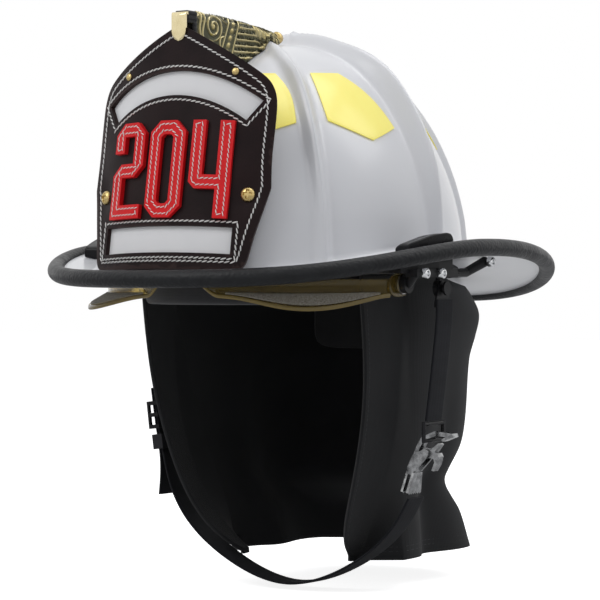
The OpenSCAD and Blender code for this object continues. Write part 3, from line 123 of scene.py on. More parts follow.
shown = added(room, "ShaderNodeMath", {0: seen.outputs[0], 1: rays["Is Transmission Ray"]},
              operation="MAXIMUM")
choose = added(room, "ShaderNodeMixShader",
               {"Fac": shown.outputs[0], 1: room_light.outputs[0], 2: backdrop.outputs[0]})
added(room, "ShaderNodeOutputWorld", {"Surface": choose.outputs[0]})
bpy.context.scene.view_settings.view_transform = "Standard"

bm = bmesh.new()
bmesh.ops.create_grid(bm, x_segments=2, y_segments=2, size=6)
bmesh.ops.translate(bm, vec=(0, 0, cad_box[0][2] - 0.003), verts=bm.verts)
floor_mesh = bpy.data.meshes.new("floor")
bm.to_mesh(floor_mesh)
bm.free()
floor_obj = bpy.data.objects.new("floor", floor_mesh)
bpy.context.scene.collection.objects.link(floor_obj)
floor_paint = bpy.data.materials.new("floor_paint")
floor_paint.use_nodes = True
paint_tree = floor_paint.node_tree
paint_tree.nodes.clear()
matt = added(paint_tree, "ShaderNodeBsdfDiffuse", {"Color": (0.80, 0.80, 0.80, 1)})
rays = added(paint_tree, "ShaderNodeLightPath").outputs
seen = added(paint_tree, "ShaderNodeMath", {0: rays["Is Camera Ray"], 1: 0.85}, operation="MULTIPLY")
glow = added(paint_tree, "ShaderNodeEmission", {"Strength": seen.outputs[0]})
both = added(paint_tree, "ShaderNodeAddShader", {0: matt.outputs[0], 1: glow.outputs[0]})
added(paint_tree, "ShaderNodeOutputMaterial", {"Surface": both.outputs[0]})
floor_mesh.materials.append(floor_paint)


# Outer shell. Moulded composite in glossy white paint: a dome of eight panels between raised ribs
# that run together at the crown, and a wide saddle-shaped brim, all one moulding 3 mm thick.
def sn(a):
    return math.sin(math.radians(a))


def cs(a):
    return math.cos(math.radians(a))


def lerp(a, b, k):
    return a + (b - a) * k


def ease(k):
    k = min(1.0, max(0.0, k))
    return k * k * (3 - 2 * k)


def spow(v, p):
    return math.copysign(abs(v) ** p, v)


def spaced(a, b, n):
    """n + 1 even steps from a to b."""
    return [a + (b - a) * i / n for i in range(n + 1)]


def laid(rows, closed=False, cloth=None):
    """A bmesh grid whose corners lie on rows of points in millimetres. closed joins the last
    column to the first; cloth gives its width and length in mm for a UV map in metres."""
    m, n = len(rows), len(rows[0])
    cols = n + 1 if closed else n
    bm = bmesh.new()
    bmesh.ops.create_grid(bm, x_segments=cols - 1, y_segments=m - 1, size=0.5)
    cell = {}
    for v in bm.verts:
        cell[v] = (round((v.co.x + 0.5) * (cols - 1)), round((v.co.y + 0.5) * (m - 1)))
    if cloth:
        layer = bm.loops.layers.uv.new("UVMap")
        for face in bm.faces:
            for loop in face.loops:
                i, j = cell[loop.vert]
                loop[layer].uv = (i / (cols - 1) * cloth[0] / 1000, j / (m - 1) * cloth[1] / 1000)
    for v, (i, j) in cell.items():
        v.co = rows[j][i % n]
    bmesh.ops.remove_doubles(bm, verts=bm.verts, dist=0.002)
    bmesh.ops.recalc_face_normals(bm, faces=bm.faces)
    return bm


def facing_out(bm, centre):
    """Turns an open sheet so that its faces look away from centre."""
    bm.normal_update()
    if sum(f.normal.dot(f.calc_center_median() - Vector(centre)) for f in bm.faces) < 0:
        bmesh.ops.reverse_faces(bm, faces=bm.faces)
    return bm


def modified(obj, name, kind, **settings):
    """Adds a live modifier with its settings."""
    mod = obj.modifiers.new(name, kind)
    for key, value in settings.items():
        setattr(mod, key, value)


def piece(name, bm, finish, body="shell", sharp=35, wall=None, soft=None, smooth=None):
    """A bmesh in millimetres becomes a named piece with its finish, riding on a body. wall gives
    an open sheet its thickness, soft rounds the edges, smooth adds subdivision levels."""
    bmesh.ops.scale(bm, vec=(0.001, 0.001, 0.001), verts=bm.verts)
    mesh = bpy.data.meshes.new(name)
    bm.to_mesh(mesh)
    bm.free()
    mesh.materials.append(finish)
    for face in mesh.polygons:
        face.use_smooth = True
    mesh.set_sharp_from_angle(angle=math.radians(sharp))
    obj = bpy.data.objects.new(name, mesh)
    bpy.context.scene.collection.objects.link(obj)
    if wall:
        modified(obj, "wall", "SOLIDIFY", thickness=wall / 1000, offset=-1, use_even_offset=True)
    if soft:
        modified(obj, "soft", "BEVEL", width=soft / 1000, segments=3, limit_method="ANGLE",
                 angle_limit=math.radians(sharp))
    if smooth:
        modified(obj, "smooth", "SUBSURF", levels=smooth, render_levels=smooth)
    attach(obj, body)
    return obj


def coat(name, colour, rough, metal=0.0, blotch=None, rough_span=0.0, bumps=(), edge_wear_and_glint=None, inlay=None,
         on_cloth=False, **sockets):
    """A finish: blotch (colour, size mm, share) varies its colour, bumps lists (pattern, size mm,
    strength, depth mm), edge_wear_and_glint (colour, share) shows on edges, as rubbed wear on most
    finishes and as a painted highlight on the chrome, inlay (attribute, colour) in hollows. Grain is a
    pattern of cells, along, across and twill are ribs, and any other name is noise."""
    mat = bpy.data.materials.new(name)
    mat.use_nodes = True
    tree = mat.node_tree
    shader = tree.nodes["Principled BSDF"]
    where = added(tree, "ShaderNodeTexCoord").outputs["UV" if on_cloth else "Object"]
    feed(tree, shader, {"Metallic": metal, "Roughness": rough})
    feed(tree, shader, {key.replace("_", " "): value for key, value in sockets.items()})

    def mixed(paint, other, amount):
        mix = added(tree, "ShaderNodeMix", {0: amount, 6: paint, 7: (*other, 1)}, data_type="RGBA")
        return mix.outputs[2]

    def spread(value, low, high, to_low, to_high):
        span = {"Value": value, "From Min": low, "From Max": high, "To Min": to_low, "To Max": to_high}
        return added(tree, "ShaderNodeMapRange", span).outputs["Result"]

    paint = (*colour, 1)
    if blotch or rough_span:
        scale = 1000 / (blotch[1] if blotch else 20)
        noise = added(tree, "ShaderNodeTexNoise", {"Scale": scale, "Detail": 5, "Vector": where})
        noise = noise.outputs["Fac"]
        if blotch:
            paint = mixed(paint, blotch[0], spread(noise, 0.35, 0.65, 0, blotch[2]))
        if rough_span:
            feed(tree, shader, {"Roughness": spread(noise, 0.3, 0.7, rough - rough_span, rough + rough_span)})
    if inlay:
        tone = added(tree, "ShaderNodeAttribute", attribute_name=inlay[0]).outputs["Fac"]
        paint = mixed(paint, inlay[1], spread(tone, 0.2, 0.75, 1, 0))
    # Edges take this tint by pointiness: rubbed wear on most finishes, a painted highlight on the chrome.
    if edge_wear_and_glint:
        edge = added(tree, "ShaderNodeNewGeometry").outputs["Pointiness"]
        paint = mixed(paint, edge_wear_and_glint[0], spread(edge, 0.53, 0.6, 0, edge_wear_and_glint[1]))
    feed(tree, shader, {"Base Color": paint})
    relief = {}
    for pattern, size, strength, depth in bumps:
        ribs_run = {"along": "X", "across": "Y", "twill": "DIAGONAL"}.get(pattern)
        if pattern == "grain":
            tex = added(tree, "ShaderNodeTexVoronoi", feature="SMOOTH_F1")
        elif ribs_run:
            tex = added(tree, "ShaderNodeTexWave", bands_direction=ribs_run)
        else:
            tex = added(tree, "ShaderNodeTexNoise", {"Detail": 4})
        feed(tree, tex, {"Scale": 1000 / size * (0.314 if ribs_run else 1), "Vector": where})
        height = tex.outputs["Distance" if pattern == "grain" else "Fac"]
        bump = {"Strength": strength, "Distance": depth / 1000, "Height": height, **relief}
        relief = {"Normal": added(tree, "ShaderNodeBump", bump).outputs["Normal"]}
    feed(tree, shader, relief)
    return mat


dome_e = (109.5, 133.5, 147.0)
inner_e = (106.5, 130.5, 144.0)
rib_half_w = 10.5
ribs = [(0, -40.05), (49.8, -25), (93.6, 8.68), (136, 26.7), (180, 5.34), (-136, 26.7), (-93.6, 8.68),
        (-49.8, -25)]


def dome_pt(e, f, t):
    return Vector((e[0] * cs(t) * sn(f), -e[1] * cs(t) * cs(f), e[2] * sn(t)))


def dome_normal(e, p):
    return Vector((p[0] / e[0] ** 2, p[1] / e[1] ** 2, p[2] / e[2] ** 2)).normalized()


def rib_angle(rib, t):
    """Plan angle of a rib where it passes height angle t."""
    c = -rib[1] / dome_e[1]
    dx, dy = sn(rib[0]), cs(rib[0]) - c
    qa, qb, qc = dx * dx + dy * dy, c * dy, c * c - cs(t) ** 2
    k = (-qb + math.sqrt(max(0, qb * qb - qa * qc))) / qa
    return math.degrees(math.atan2(k * dx, c + k * dy))


def rib_height(x, y, t):
    """Height of the ribs over the panels at a point in plan and height angle t. The front rib is
    low behind the leather, and the two at the sides are tall and sharp."""
    total = 0.0
    for i, (angle, mid_y) in enumerate(ribs):
        bx, by = dome_e[0] * sn(angle), -dome_e[1] * cs(angle) - mid_y
        k = min(1.0, max(0.0, (x * bx + (y - mid_y) * by) / (bx * bx + by * by)))
        gap = math.hypot(x - bx * k, y - mid_y - by * k)
        if gap < rib_half_w:
            share, peak = 1.0, 2.3
            if i == 0:
                share = 0.25
            elif i in (1, 7):
                share = lerp(1, 0.5, ease((t - 52) / 14))
            elif i in (2, 6):
                share, peak = 1 + 0.75 * ease((t - 8) / 20) * ease((76 - t) / 24), 1.0
            total += ((0.5 + 0.5 * math.cos(math.pi * gap / rib_half_w)) ** peak * share) ** 8
    return (5.5 + 4 * sn(t) ** 2) * total ** 0.125


def shell_pt(f, t, lift=0.0):
    p = dome_pt(dome_e, f, t)
    return p + dome_normal(dome_e, p) * (rib_height(p.x, p.y, t) + lift)


def shell_top(x, y):
    q = math.sqrt(max(0, 1 - (x / dome_e[0]) ** 2 - (y / dome_e[1]) ** 2))
    n = dome_normal(dome_e, (x, y, dome_e[2] * q))
    return dome_e[2] * q + rib_height(x, y, math.degrees(math.asin(q))) / max(0.3, n.z)


def columns(t):
    """Plan angles round the dome at height t, close together over each rib."""
    g = min(t, 66)
    found = []
    for i, rib in enumerate(ribs):
        a0, a1 = rib_angle(rib, g), rib_angle(ribs[(i + 1) % 8], g)
        a1 += 360 if a1 < a0 else 0
        half = (a1 - a0) / 2
        w = []
        for a in (a0, a1):
            mm_per_deg = math.pi / 180 * cs(g) * math.hypot(dome_e[0] * cs(a), dome_e[1] * sn(a))
            w.append(min(rib_half_w / mm_per_deg, 0.8 * half))
        found += [a0 + w[0] * k / 8 for k in range(8)]
        found += [lerp(a0 + w[0], a1 - w[1], k / 10) for k in range(10)]
        found += [a1 - w[1] * (8 - k) / 8 for k in range(8)]
    return found


bead_r = 5.5
brim_t = 2.6
brim_fillet = 8.0


def brim_z(f):
    return 2.87 * cs(f) - 12.5 * cs(2 * f) + 2.67 * cs(3 * f) + 1.2 * cs(4 * f)


brim_half_w, brim_mid_y, brim_front, brim_back, brim_power = 144.5, 3.5, 160.5, 224.5, 2 / 2.1


def brim_edge(f):
    reach = brim_front if cs(f) > 0 else brim_back
    return Vector((brim_half_w * spow(sn(f), brim_power), brim_mid_y - reach * spow(cs(f), brim_power),
                   brim_z(f)))


def brim_out(f):
    t = brim_edge(f + 0.5) - brim_edge(f - 0.5)
    return Vector((t.y, -t.x, 0)).normalized()


def root_z(f):
    return brim_z(f) * (0.72 - 0.42 * ((1 - cs(f)) / 2) ** 2)


def rim_pt(f, out):
    """Point on the brim's upper face, out mm outside its edge."""
    return brim_edge(f) + brim_out(f) * out + Vector((0, 0, brim_t / 2))


def brim_pt(f, k):
    """Point on the brim's upper face, k from 0 under the dome's wall to 1 inside the bead."""
    p, e = dome_pt(dome_e, f, 0), rim_pt(f, -bead_r - 1)
    return Vector((lerp(p.x, e.x, k), lerp(p.y, e.y, k), lerp(root_z(f), e.z, k ** 1.5)))


def fillet_share(f):
    """Where on the brim the fillet ends, as brim_pt counts it."""
    p, e = dome_pt(dome_e, f, 0), rim_pt(f, -bead_r - 1)
    return brim_fillet * 1.15 / math.hypot(p.x - e.x, p.y - e.y)


def fillet_pt(f, a):
    """Point of the fillet between dome and brim, a from 0 at the dome to 90 on the brim."""
    rise = root_z(f) + brim_fillet
    p, r = shell_pt(f, math.degrees(math.asin(rise / dome_e[2]))), brim_pt(f, fillet_share(f))
    return Vector((lerp(p.x, r.x, 1 - cs(a)), lerp(p.y, r.y, 1 - cs(a)), lerp(r.z, rise, 1 - sn(a))))


def brim_row(k, down=0.0):
    """Points round the brim, k from 0 at the fillet to 1 inside the bead, down mm below its top."""
    return [brim_pt(f, lerp(fillet_share(f), 1, k)) - Vector((0, 0, down)) for f in round_foot]


round_foot = columns(0)
rows = [[shell_pt(0, 90)] * len(round_foot)]
rows += [[shell_pt(f, t) for f in columns(t)] for t in spaced(88.5, 12, 50)]
rows += [[fillet_pt(f, a) for f in round_foot] for a in (0, 18, 36, 54, 72)]
rows += [brim_row(k) for k in spaced(0, 1, 10)]
rows += [[rim_pt(f, 2) - Vector((0, 0, down)) for f in round_foot] for down in (0, brim_t)]
rows += [brim_row(k, brim_t) for k in spaced(1, 0.1, 9)]
rows += [[Vector((*dome_pt(inner_e, f, 0).xy, root_z(f) - brim_t)) for f in round_foot]]
rows += [[dome_pt(inner_e, f, t) for f in round_foot] for t in spaced(6, 84, 16)]
rows += [[Vector((0, 0, inner_e[2]))] * len(round_foot)]
white_paint = coat("white_paint", (0.80, 0.805, 0.83), 0.34, blotch=((0.74, 0.75, 0.785), 90, 0.6),
                   rough_span=0.04, bumps=(("orange_peel", 3.2, 0.06, 0.10), ("dust", 0.5, 0.05, 0.02)),
                   Coat_Weight=0.45, Coat_Roughness=0.16)
shell_obj = piece("painted_shell", laid(rows, closed=True), white_paint)
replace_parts(shell_obj, "outer_shell")

# Edge bead. Extruded black rubber with a fine pebbled skin, slit along its inside and pushed over
# the brim's edge all round.
groove_half, groove_mid, groove_end = 1.4, -2.6, 2.3
slit = math.degrees(math.asin(groove_half / bead_r))
section = [(bead_r * cs(a), bead_r * sn(a)) for a in spaced(180 + slit, 540 - slit, 26)]
section += [(groove_mid, groove_half), (groove_end, groove_half), (groove_end, -groove_half),
            (groove_mid, -groove_half)]
rows = []
for f in spaced(0, 359, 359):
    e, o = brim_edge(f), brim_out(f)
    rows.append([e + o * s[0] + Vector((0, 0, s[1])) for s in section])
rows.append(rows[0])
bead_rubber = coat("bead_rubber", (0.010, 0.0105, 0.012), 0.42, blotch=((0.018, 0.019, 0.021), 9, 0.6),
                   rough_span=0.07, bumps=(("grain", 1.9, 0.8, 0.45), ("noise", 0.6, 0.3, 0.14)),
                   edge_wear_and_glint=((0.06, 0.06, 0.066), 0.4), Specular_IOR_Level=0.2)
bead_obj = piece("rubber_bead", laid(rows, closed=True), bead_rubber)
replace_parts(bead_obj, "edge_trim")

# Reflective pentagons. Lime retroreflective sheet with a sealed edge and a honeycomb of tiny cells,
# one stuck on each panel of the dome. A faint emission on the sheet is a painted glow that lifts it
# above what the lamps give. Corners are (plan angle, height angle) on the wearer's left, clockwise
# from the upper front one.
patch_lift = 0.9
patch_corners = [
    [(12, 57), (32.6, 56.8), (42.6, 38), (29, 34.5), (10, 33)],
    [(52.4, 57.4), (70.2, 57.9), (85.8, 37.5), (72.4, 33.3), (55.2, 38.9)],
    [(122, 56.3), (132, 55.6), (132, 38.3), (128, 32.6), (124, 37.2)],
    [(158, 55), (168, 56), (171, 33), (158, 34), (150, 38.3)]]


def patch_pt(c, u, v, side):
    """Point of a patch: u from its front to its back, v from its top down."""
    top = [lerp(c[0][k], c[1][k], u) for k in (0, 1)]
    if u < 0.5:
        low = [lerp(c[4][k], c[3][k], u * 2) for k in (0, 1)]
    else:
        low = [lerp(c[3][k], c[2][k], u * 2 - 1) for k in (0, 1)]
    bow = math.sin(math.pi * v) * u
    p = shell_pt(lerp(top[0], low[0], v) + 2.4 * bow, lerp(top[1], low[1], v) + 1.5 * bow, patch_lift)
    return Vector((p.x * side, p.y, p.z))


# The emission is a painted glow: it brightens the lime sheet whatever the lamps do.
lime_sheet_painted_glow = coat("lime_reflective_painted_glow", (0.93, 0.83, 0.14), 0.38, blotch=((0.88, 0.78, 0.11), 6, 0.35),
                  bumps=(("grain", 0.9, 0.25, 0.10),), on_cloth=True, Coat_Weight=0.5, Coat_Roughness=0.18,
                  Emission_Color=(0.93, 0.80, 0.17, 1), Emission_Strength=0.22)
for i, corners in enumerate(patch_corners):
    for side, word in ((1, "left"), (-1, "right")):
        bm = laid([[patch_pt(corners, u, v, side) for u in spaced(0, 1, 20)] for v in spaced(0, 1, 16)],
                  cloth=(46, 34))
        patch = piece(f"patch_{word}_{i + 1}", facing_out(bm, (0, 0, 0)), lime_sheet_painted_glow,
                      wall=0.5, soft=0.12)
        if i == 0 and side == 1:
            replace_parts(patch, "reflective_patches")

# Leather front. Two plies of dark saddle leather bent round the dome: the face ply has windows for
# an arched and a straight white banner, its rim is lock-stitched in white, and red padded digits are
# sewn on. The digits are plain block numbers.
lean = math.radians(9.4009)
leather_h, leather_w, bend_r = 153.3, 66.7, 134.0
leather_foot_y, leather_foot_z = -143.5, 0.5
face_t, backing_t, banner_t = 2.6, 1.9, 1.0
screw_x, screw_v = 53.8, 47.4


def on_leather(x, v, out=0.0):
    """World point over the bent leather: x across, v up from its foot, out in front of its face.
    Each screw pulls the leather in round it."""
    root = math.sqrt(bend_r ** 2 - x * x)
    y, n = bend_r - root, Vector((x / bend_r, -root / bend_r, 0))
    y += 1.5 * math.exp(-((abs(x) - screw_x) ** 2 + (v - screw_v) ** 2 * 0.7) / 70)
    p = Vector((x, y, 0)) + n * out
    return Vector((p.x, leather_foot_y + p.y * math.cos(lean) + v * math.sin(lean),
                   leather_foot_z - p.y * math.sin(lean) + v * math.cos(lean)))


def rounded(points, keep):
    """Cuts the corners of a closed outline, apart from those in keep, so that it runs in curves."""
    tags = [(p, i in keep) for i, p in enumerate(points)]
    for _ in range(2):
        cut = []
        for i, (p, hold) in enumerate(tags):
            a, b = tags[i - 1][0], tags[(i + 1) % len(tags)][0]
            if hold:
                cut.append((p, True))
            else:
                cut.append(((lerp(p[0], a[0], 0.25), lerp(p[1], a[1], 0.25)), False))
                cut.append(((lerp(p[0], b[0], 0.25), lerp(p[1], b[1], 0.25)), False))
        tags = cut
    return [p for p, _ in tags]


def inset(points, d):
    """A closed outline moved inwards by d, where it runs anticlockwise."""
    moved = []
    for i, p in enumerate(points):
        a, b = Vector(points[i - 1]), Vector(points[(i + 1) % len(points)])
        p = Vector(p)
        e0, e1 = (p - a).normalized(), (b - p).normalized()
        n = Vector((-e0.y - e1.y, e0.x + e1.x))
        n = n.normalized() / max(0.35, n.length / 2)
        moved.append(tuple(p + n * d))
    return moved


def flat_shape(outlines, cell=3.0):
    """A flat sheet inside the first outline and outside the others, cut into small cells."""
    bm = bmesh.new()
    for outline in outlines:
        ring = [bm.verts.new((p[0], p[1], 0)) for p in outline]
        for a, b in zip(ring, ring[1:] + ring[:1]):
            bm.edges.new((a, b))
    bmesh.ops.triangle_fill(bm, use_beauty=True, use_dissolve=False, edges=bm.edges[:],
                            normal=(0, 0, 1))
    xs, ys = [v.co.x for v in bm.verts], [v.co.y for v in bm.verts]
    for axis, values in (((1, 0, 0), xs), ((0, 1, 0), ys)):
        at = math.floor(min(values) / cell) * cell + cell
        while at < max(values):
            bmesh.ops.bisect_plane(bm, geom=bm.verts[:] + bm.edges[:] + bm.faces[:], dist=0.0005,
                                   plane_co=(at * axis[0], at * axis[1], 0), plane_no=axis)
            at += cell
    bmesh.ops.recalc_face_normals(bm, faces=bm.faces)
    if sum(f.normal.z for f in bm.faces) < 0:
        bmesh.ops.reverse_faces(bm, faces=bm.faces)
    return bm


def raised(bm, height):
    """Gives a flat sheet in the x-y plane its height, as a closed block."""
    made = bmesh.ops.extrude_face_region(bm, geom=bm.faces[:], use_keep_orig=True)["geom"]
    lifted = [g for g in made if isinstance(g, bmesh.types.BMVert)]
    bmesh.ops.translate(bm, vec=(0, 0, height), verts=lifted)
    bmesh.ops.recalc_face_normals(bm, faces=bm.faces)
    return bm


def on_front(outlines, height, sunk=0.0, cell=3.0):
    """A ply cut to the outlines, height mm thick and sunk mm behind the face, bent as the leather."""
    bm = raised(flat_shape(outlines, cell), height)
    for v in bm.verts:
        v.co = on_leather(v.co.x, v.co.y, v.co.z - sunk)
    bmesh.ops.recalc_face_normals(bm, faces=bm.faces)
    return bm


def stitch(bm, spot, along, side, outward, around=7):
    """One stitch at spot: a bean of thread whose half lengths are the three vectors."""
    turn = Matrix((along, side, outward)).transposed().to_4x4()
    lying = Matrix.Rotation(math.radians(90), 4, "Y")
    bmesh.ops.create_uvsphere(bm, u_segments=around, v_segments=around - 1, radius=1,
                              matrix=Matrix.Translation(spot) @ turn @ lying)


def sewn(bm, outline, place, pitch=3.4, thick=0.5):
    """Slanted stitches of thread along a closed outline, each dipping into the work at both ends."""
    slant, overlap, up = math.radians(17), 1.12, 0.1
    ring = [Vector(p) for p in outline] + [Vector(outline[0])]
    total = sum((b - a).length for a, b in zip(ring, ring[1:]))
    gap = total / max(1, round(total / pitch))
    want, done = gap / 2, 0.0
    for a, b in zip(ring, ring[1:]):
        span = (b - a).length
        while span and want <= done + span:
            p = a.lerp(b, (want - done) / span)
            d = (b - a).normalized()
            spot = place(p.x, p.y, up)
            along = (place(p.x + d.x * 0.1, p.y + d.y * 0.1, up) - spot).normalized()
            outward = (place(p.x, p.y, up + 0.1) - spot).normalized()
            along = Matrix.Rotation(slant, 3, outward) @ along
            stitch(bm, spot, along * (gap * overlap / 2), outward.cross(along) * thick, outward * thick * 1.1)
            want += gap
        done += span


half = [(0, 1), (0.06, 0.989), (0.306, 0.937), (0.636, 0.859), (0.825, 0.806), (0.9, 0.78), (0.948, 0.752),
        (0.978, 0.715), (0.99, 0.675), (0.99, 0.587), (0.984, 0.463), (1, 0.343), (0.934, 0.218),
        (0.89, 0.134), (0.862, 0.06), (0.84, 0.026), (0.79, 0.006), (0.72, 0)]
front_edge = [(-p[0] * leather_w, p[1] * leather_h) for p in half]
front_edge += [(p[0] * leather_w, p[1] * leather_h) for p in half[:0:-1]]
notch = 11
front_edge = rounded(front_edge, keep=(notch, len(front_edge) - notch))
arch_r, arch_low_r, arch_v = 103, 87.5, 21


def arch(grow):
    """Outline of the arched window, grown by some mm."""
    a = 34.6 + grow / arch_r * 57.3
    upper, lower = arch_r + grow, arch_low_r - grow
    outer = [(upper * sn(g), arch_v + upper * cs(g)) for g in spaced(a, -a, 24)]
    return outer + [(lower * sn(g), arch_v + lower * cs(g)) for g in spaced(-a, a, 24)]


def low_box(grow):
    """Outline of the straight window, grown by some mm."""
    x, v0, v1 = 47.3 + grow, 10.2 - grow, 26.8 + grow
    return [(-x, v0), (x, v0), (x, v1), (-x, v1)]


saddle_leather = coat("saddle_leather", (0.015, 0.0065, 0.007), 0.46,
                      blotch=((0.008, 0.004, 0.0045), 24, 0.8), rough_span=0.09,
                      bumps=(("noise", 14, 0.25, 0.9), ("grain", 0.9, 0.35, 0.14),
                                              ("noise", 0.35, 0.2, 0.06)),
                      edge_wear_and_glint=((0.05, 0.03, 0.028), 0.5), Specular_IOR_Level=0.12)
bm = on_front([front_edge, arch(0), low_box(0)], -face_t)
face_ply = piece("leather_face", bm, saddle_leather, sharp=50, soft=0.55)
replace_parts(face_ply, "leather_front")
back_leather = coat("back_leather", (0.055, 0.036, 0.030), 0.6, blotch=((0.03, 0.02, 0.017), 16, 0.7),
                    bumps=(("noise", 1.2, 0.4, 0.2), ("grain", 0.5, 0.3, 0.08)))
bm = on_front([inset(front_edge, 0.3)], -backing_t, sunk=3.85)
back_ply = piece("leather_back_ply", bm, back_leather, sharp=50, soft=0.5)
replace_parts(back_ply, "leather_backing")

banner_hide = coat("banner_hide", (0.92, 0.92, 0.93), 0.42, blotch=((0.86, 0.86, 0.88), 26, 0.5),
                   bumps=(("grain", 0.7, 0.18, 0.06),), Coat_Weight=0.2)
for node, outline in (("arch_banner", arch(2.5)), ("lower_banner", low_box(2.5))):
    bm = on_front([outline], -banner_t, sunk=2.68)
    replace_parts(piece(node + "_panel", bm, banner_hide, sharp=50, soft=0.2), node)

white_thread = coat("white_thread", (0.90, 0.89, 0.87), 0.6, blotch=((0.75, 0.73, 0.70), 2, 0.5),
                    bumps=(("twill", 0.5, 0.6, 0.15),))
bm = bmesh.new()
sewn(bm, inset(front_edge, 5.0), on_leather)
sewn(bm, arch(2.8), on_leather)
sewn(bm, low_box(3.0), on_leather)
piece("front_stitching", bm, white_thread, sharp=80)

digit_w, digit_h, stroke, cut = 26.0, 60.5, 8.6, 7.0
digit_foot, digit_rise = 31.5, 3.0
bar_low, bar_high = digit_h / 2 - stroke / 2, digit_h / 2 + stroke / 2
hook_v, four_bar_v, four_cut = digit_h - 2.2 * stroke, 18, 4
right_in, right_cut, top_in, top_cut = digit_w - stroke, digit_w - cut, digit_h - stroke, digit_h - cut
two = [(0, 0), (digit_w, 0), (digit_w, stroke), (stroke, stroke), (stroke, bar_low), (right_cut, bar_low),
       (digit_w, bar_low + cut), (digit_w, top_cut), (right_cut, digit_h), (cut, digit_h), (0, top_cut),
       (0, hook_v), (stroke, hook_v), (stroke, top_in), (right_in, top_in), (right_in, bar_high),
       (cut, bar_high), (0, bar_high - cut)]
nought = [(cut, 0), (right_cut, 0), (digit_w, cut), (digit_w, top_cut), (right_cut, digit_h), (cut, digit_h),
          (0, top_cut), (0, cut)]
four = [(right_in, 0), (digit_w, 0), (digit_w, digit_h), (right_in, digit_h), (right_in, four_bar_v + stroke),
        (stroke, four_bar_v + stroke), (stroke, digit_h), (0, digit_h), (0, four_bar_v + four_cut),
        (four_cut, four_bar_v), (right_in, four_bar_v)]


def on_digit(x, v, out):
    return on_leather(x, v, out + digit_rise)


red_leather = coat("red_leather", (0.80, 0.008, 0.013), 0.42, blotch=((0.66, 0.006, 0.010), 9, 0.5),
                   rough_span=0.07, bumps=(("grain", 0.8, 0.3, 0.1), ("noise", 5, 0.25, 0.4)),
                   edge_wear_and_glint=((0.85, 0.04, 0.04), 0.4), Specular_IOR_Level=0.3)
thread_bm = bmesh.new()
digits = bmesh.new()
for shape, x0 in (([two], -42.8), ([nought, inset(nought, stroke)], -12.4), ([four], 18.0)):
    placed = [[(p[0] + x0, p[1] + digit_foot) for p in ring] for ring in shape]
    bm = on_front(placed, digit_rise, sunk=0.02, cell=2.0)
    digit_mesh = bpy.data.meshes.new("digit")
    bm.to_mesh(digit_mesh)
    bm.free()
    digits.from_mesh(digit_mesh)
    bpy.data.meshes.remove(digit_mesh)
    for ring, gap in zip(placed, (2.3, -2.3)):
        sewn(thread_bm, inset(ring, gap), on_digit, pitch=3.0, thick=0.36)
piece("number_digits", digits, red_leather, sharp=50, soft=1.1)
piece("number_stitching", thread_bm, white_thread, sharp=80)


# Brass screws and rivets of the front, and the black posts behind it. The screws have domed heads
# with a cross recess; the rivets are plain domes.
def leather_frame(x, v, out=0.0):
    """Matrix of a spot on the leather: its z looks straight out of the face."""
    spot = on_leather(x, v, out)
    n = (on_leather(x, v, out + 1) - spot).normalized()
    across = (on_leather(x + 0.5, v, out) - on_leather(x - 0.5, v, out))
    across = (across - n * across.dot(n)).normalized()
    return Matrix.Translation(spot) @ Matrix((across, n.cross(across), n)).transposed().to_4x4()


def domed_head(bm, place, r, h, recess=0.0):
    """A domed screw or rivet head with its flat at place, and a cross recess where asked."""
    made = bmesh.ops.create_grid(bm, x_segments=40, y_segments=40, size=1)["verts"]
    for v in made:
        x, y = v.co.x, v.co.y
        px, py = x * math.sqrt(1 - y * y / 2), y * math.sqrt(1 - x * x / 2)
        z = h * math.sqrt(max(0.0, 1 - min(1.0, math.hypot(px, py)) ** 2.4))
        if recess:
            bars = [min(1, (0.15 - abs(p)) / 0.06 + 1) * (abs(q) < 0.6) for p, q in ((px, py), (py, px))]
            z -= recess * max(0.0, *bars)
        v.co = place @ Vector((px * r, py * r, z))
    edge = [e for v in made for e in v.link_edges if len(e.link_faces) == 1]
    skirt = bmesh.ops.extrude_edge_only(bm, edges=list(set(edge)))["geom"]
    down = place.to_3x3() @ Vector((0, 0, -0.5))
    bmesh.ops.translate(bm, vec=down, verts=[g for g in skirt if isinstance(g, bmesh.types.BMVert)])


polished_brass = coat("polished_brass", (0.60, 0.46, 0.20), 0.28, metal=1.0,
                      blotch=((0.42, 0.30, 0.12), 2.5, 0.6), rough_span=0.1,
                      bumps=(("noise", 0.8, 0.15, 0.08),), edge_wear_and_glint=((0.85, 0.72, 0.42), 0.5))
bm = bmesh.new()
for side in (-1, 1):
    domed_head(bm, leather_frame(side * screw_x, screw_v, 0.35), 4.6, 2.7, recess=1.3)
screws = piece("front_screw_heads", bm, polished_brass, sharp=45)
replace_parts(screws, "front_screws")
rivet_x, rivet_v = 40.6, 123
bm = bmesh.new()
for side in (-1, 1):
    domed_head(bm, leather_frame(side * rivet_x, rivet_v, 0.15), 2.4, 1.4)
rivets = piece("front_rivet_heads", bm, polished_brass, sharp=60)
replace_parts(rivets, "front_rivets")
moulded_black = coat("moulded_black", (0.007, 0.007, 0.008), 0.3, blotch=((0.011, 0.011, 0.013), 11, 0.6),
                     rough_span=0.07, bumps=(("noise", 0.7, 0.2, 0.08),), edge_wear_and_glint=((0.04, 0.04, 0.045), 0.4),
                     Specular_IOR_Level=0.16)
post_from = 5.9


def post_reach(turn):
    """How far a post runs back from post_from behind the leather to the dome."""
    reach, p = 1.0, turn @ Vector((0, 0, -post_from - 1.0))
    while Vector([p[k] / dome_e[k] for k in range(3)]).length > 1.0 and reach < 40:
        reach += 0.25
        p = turn @ Vector((0, 0, -post_from - reach))
    return reach


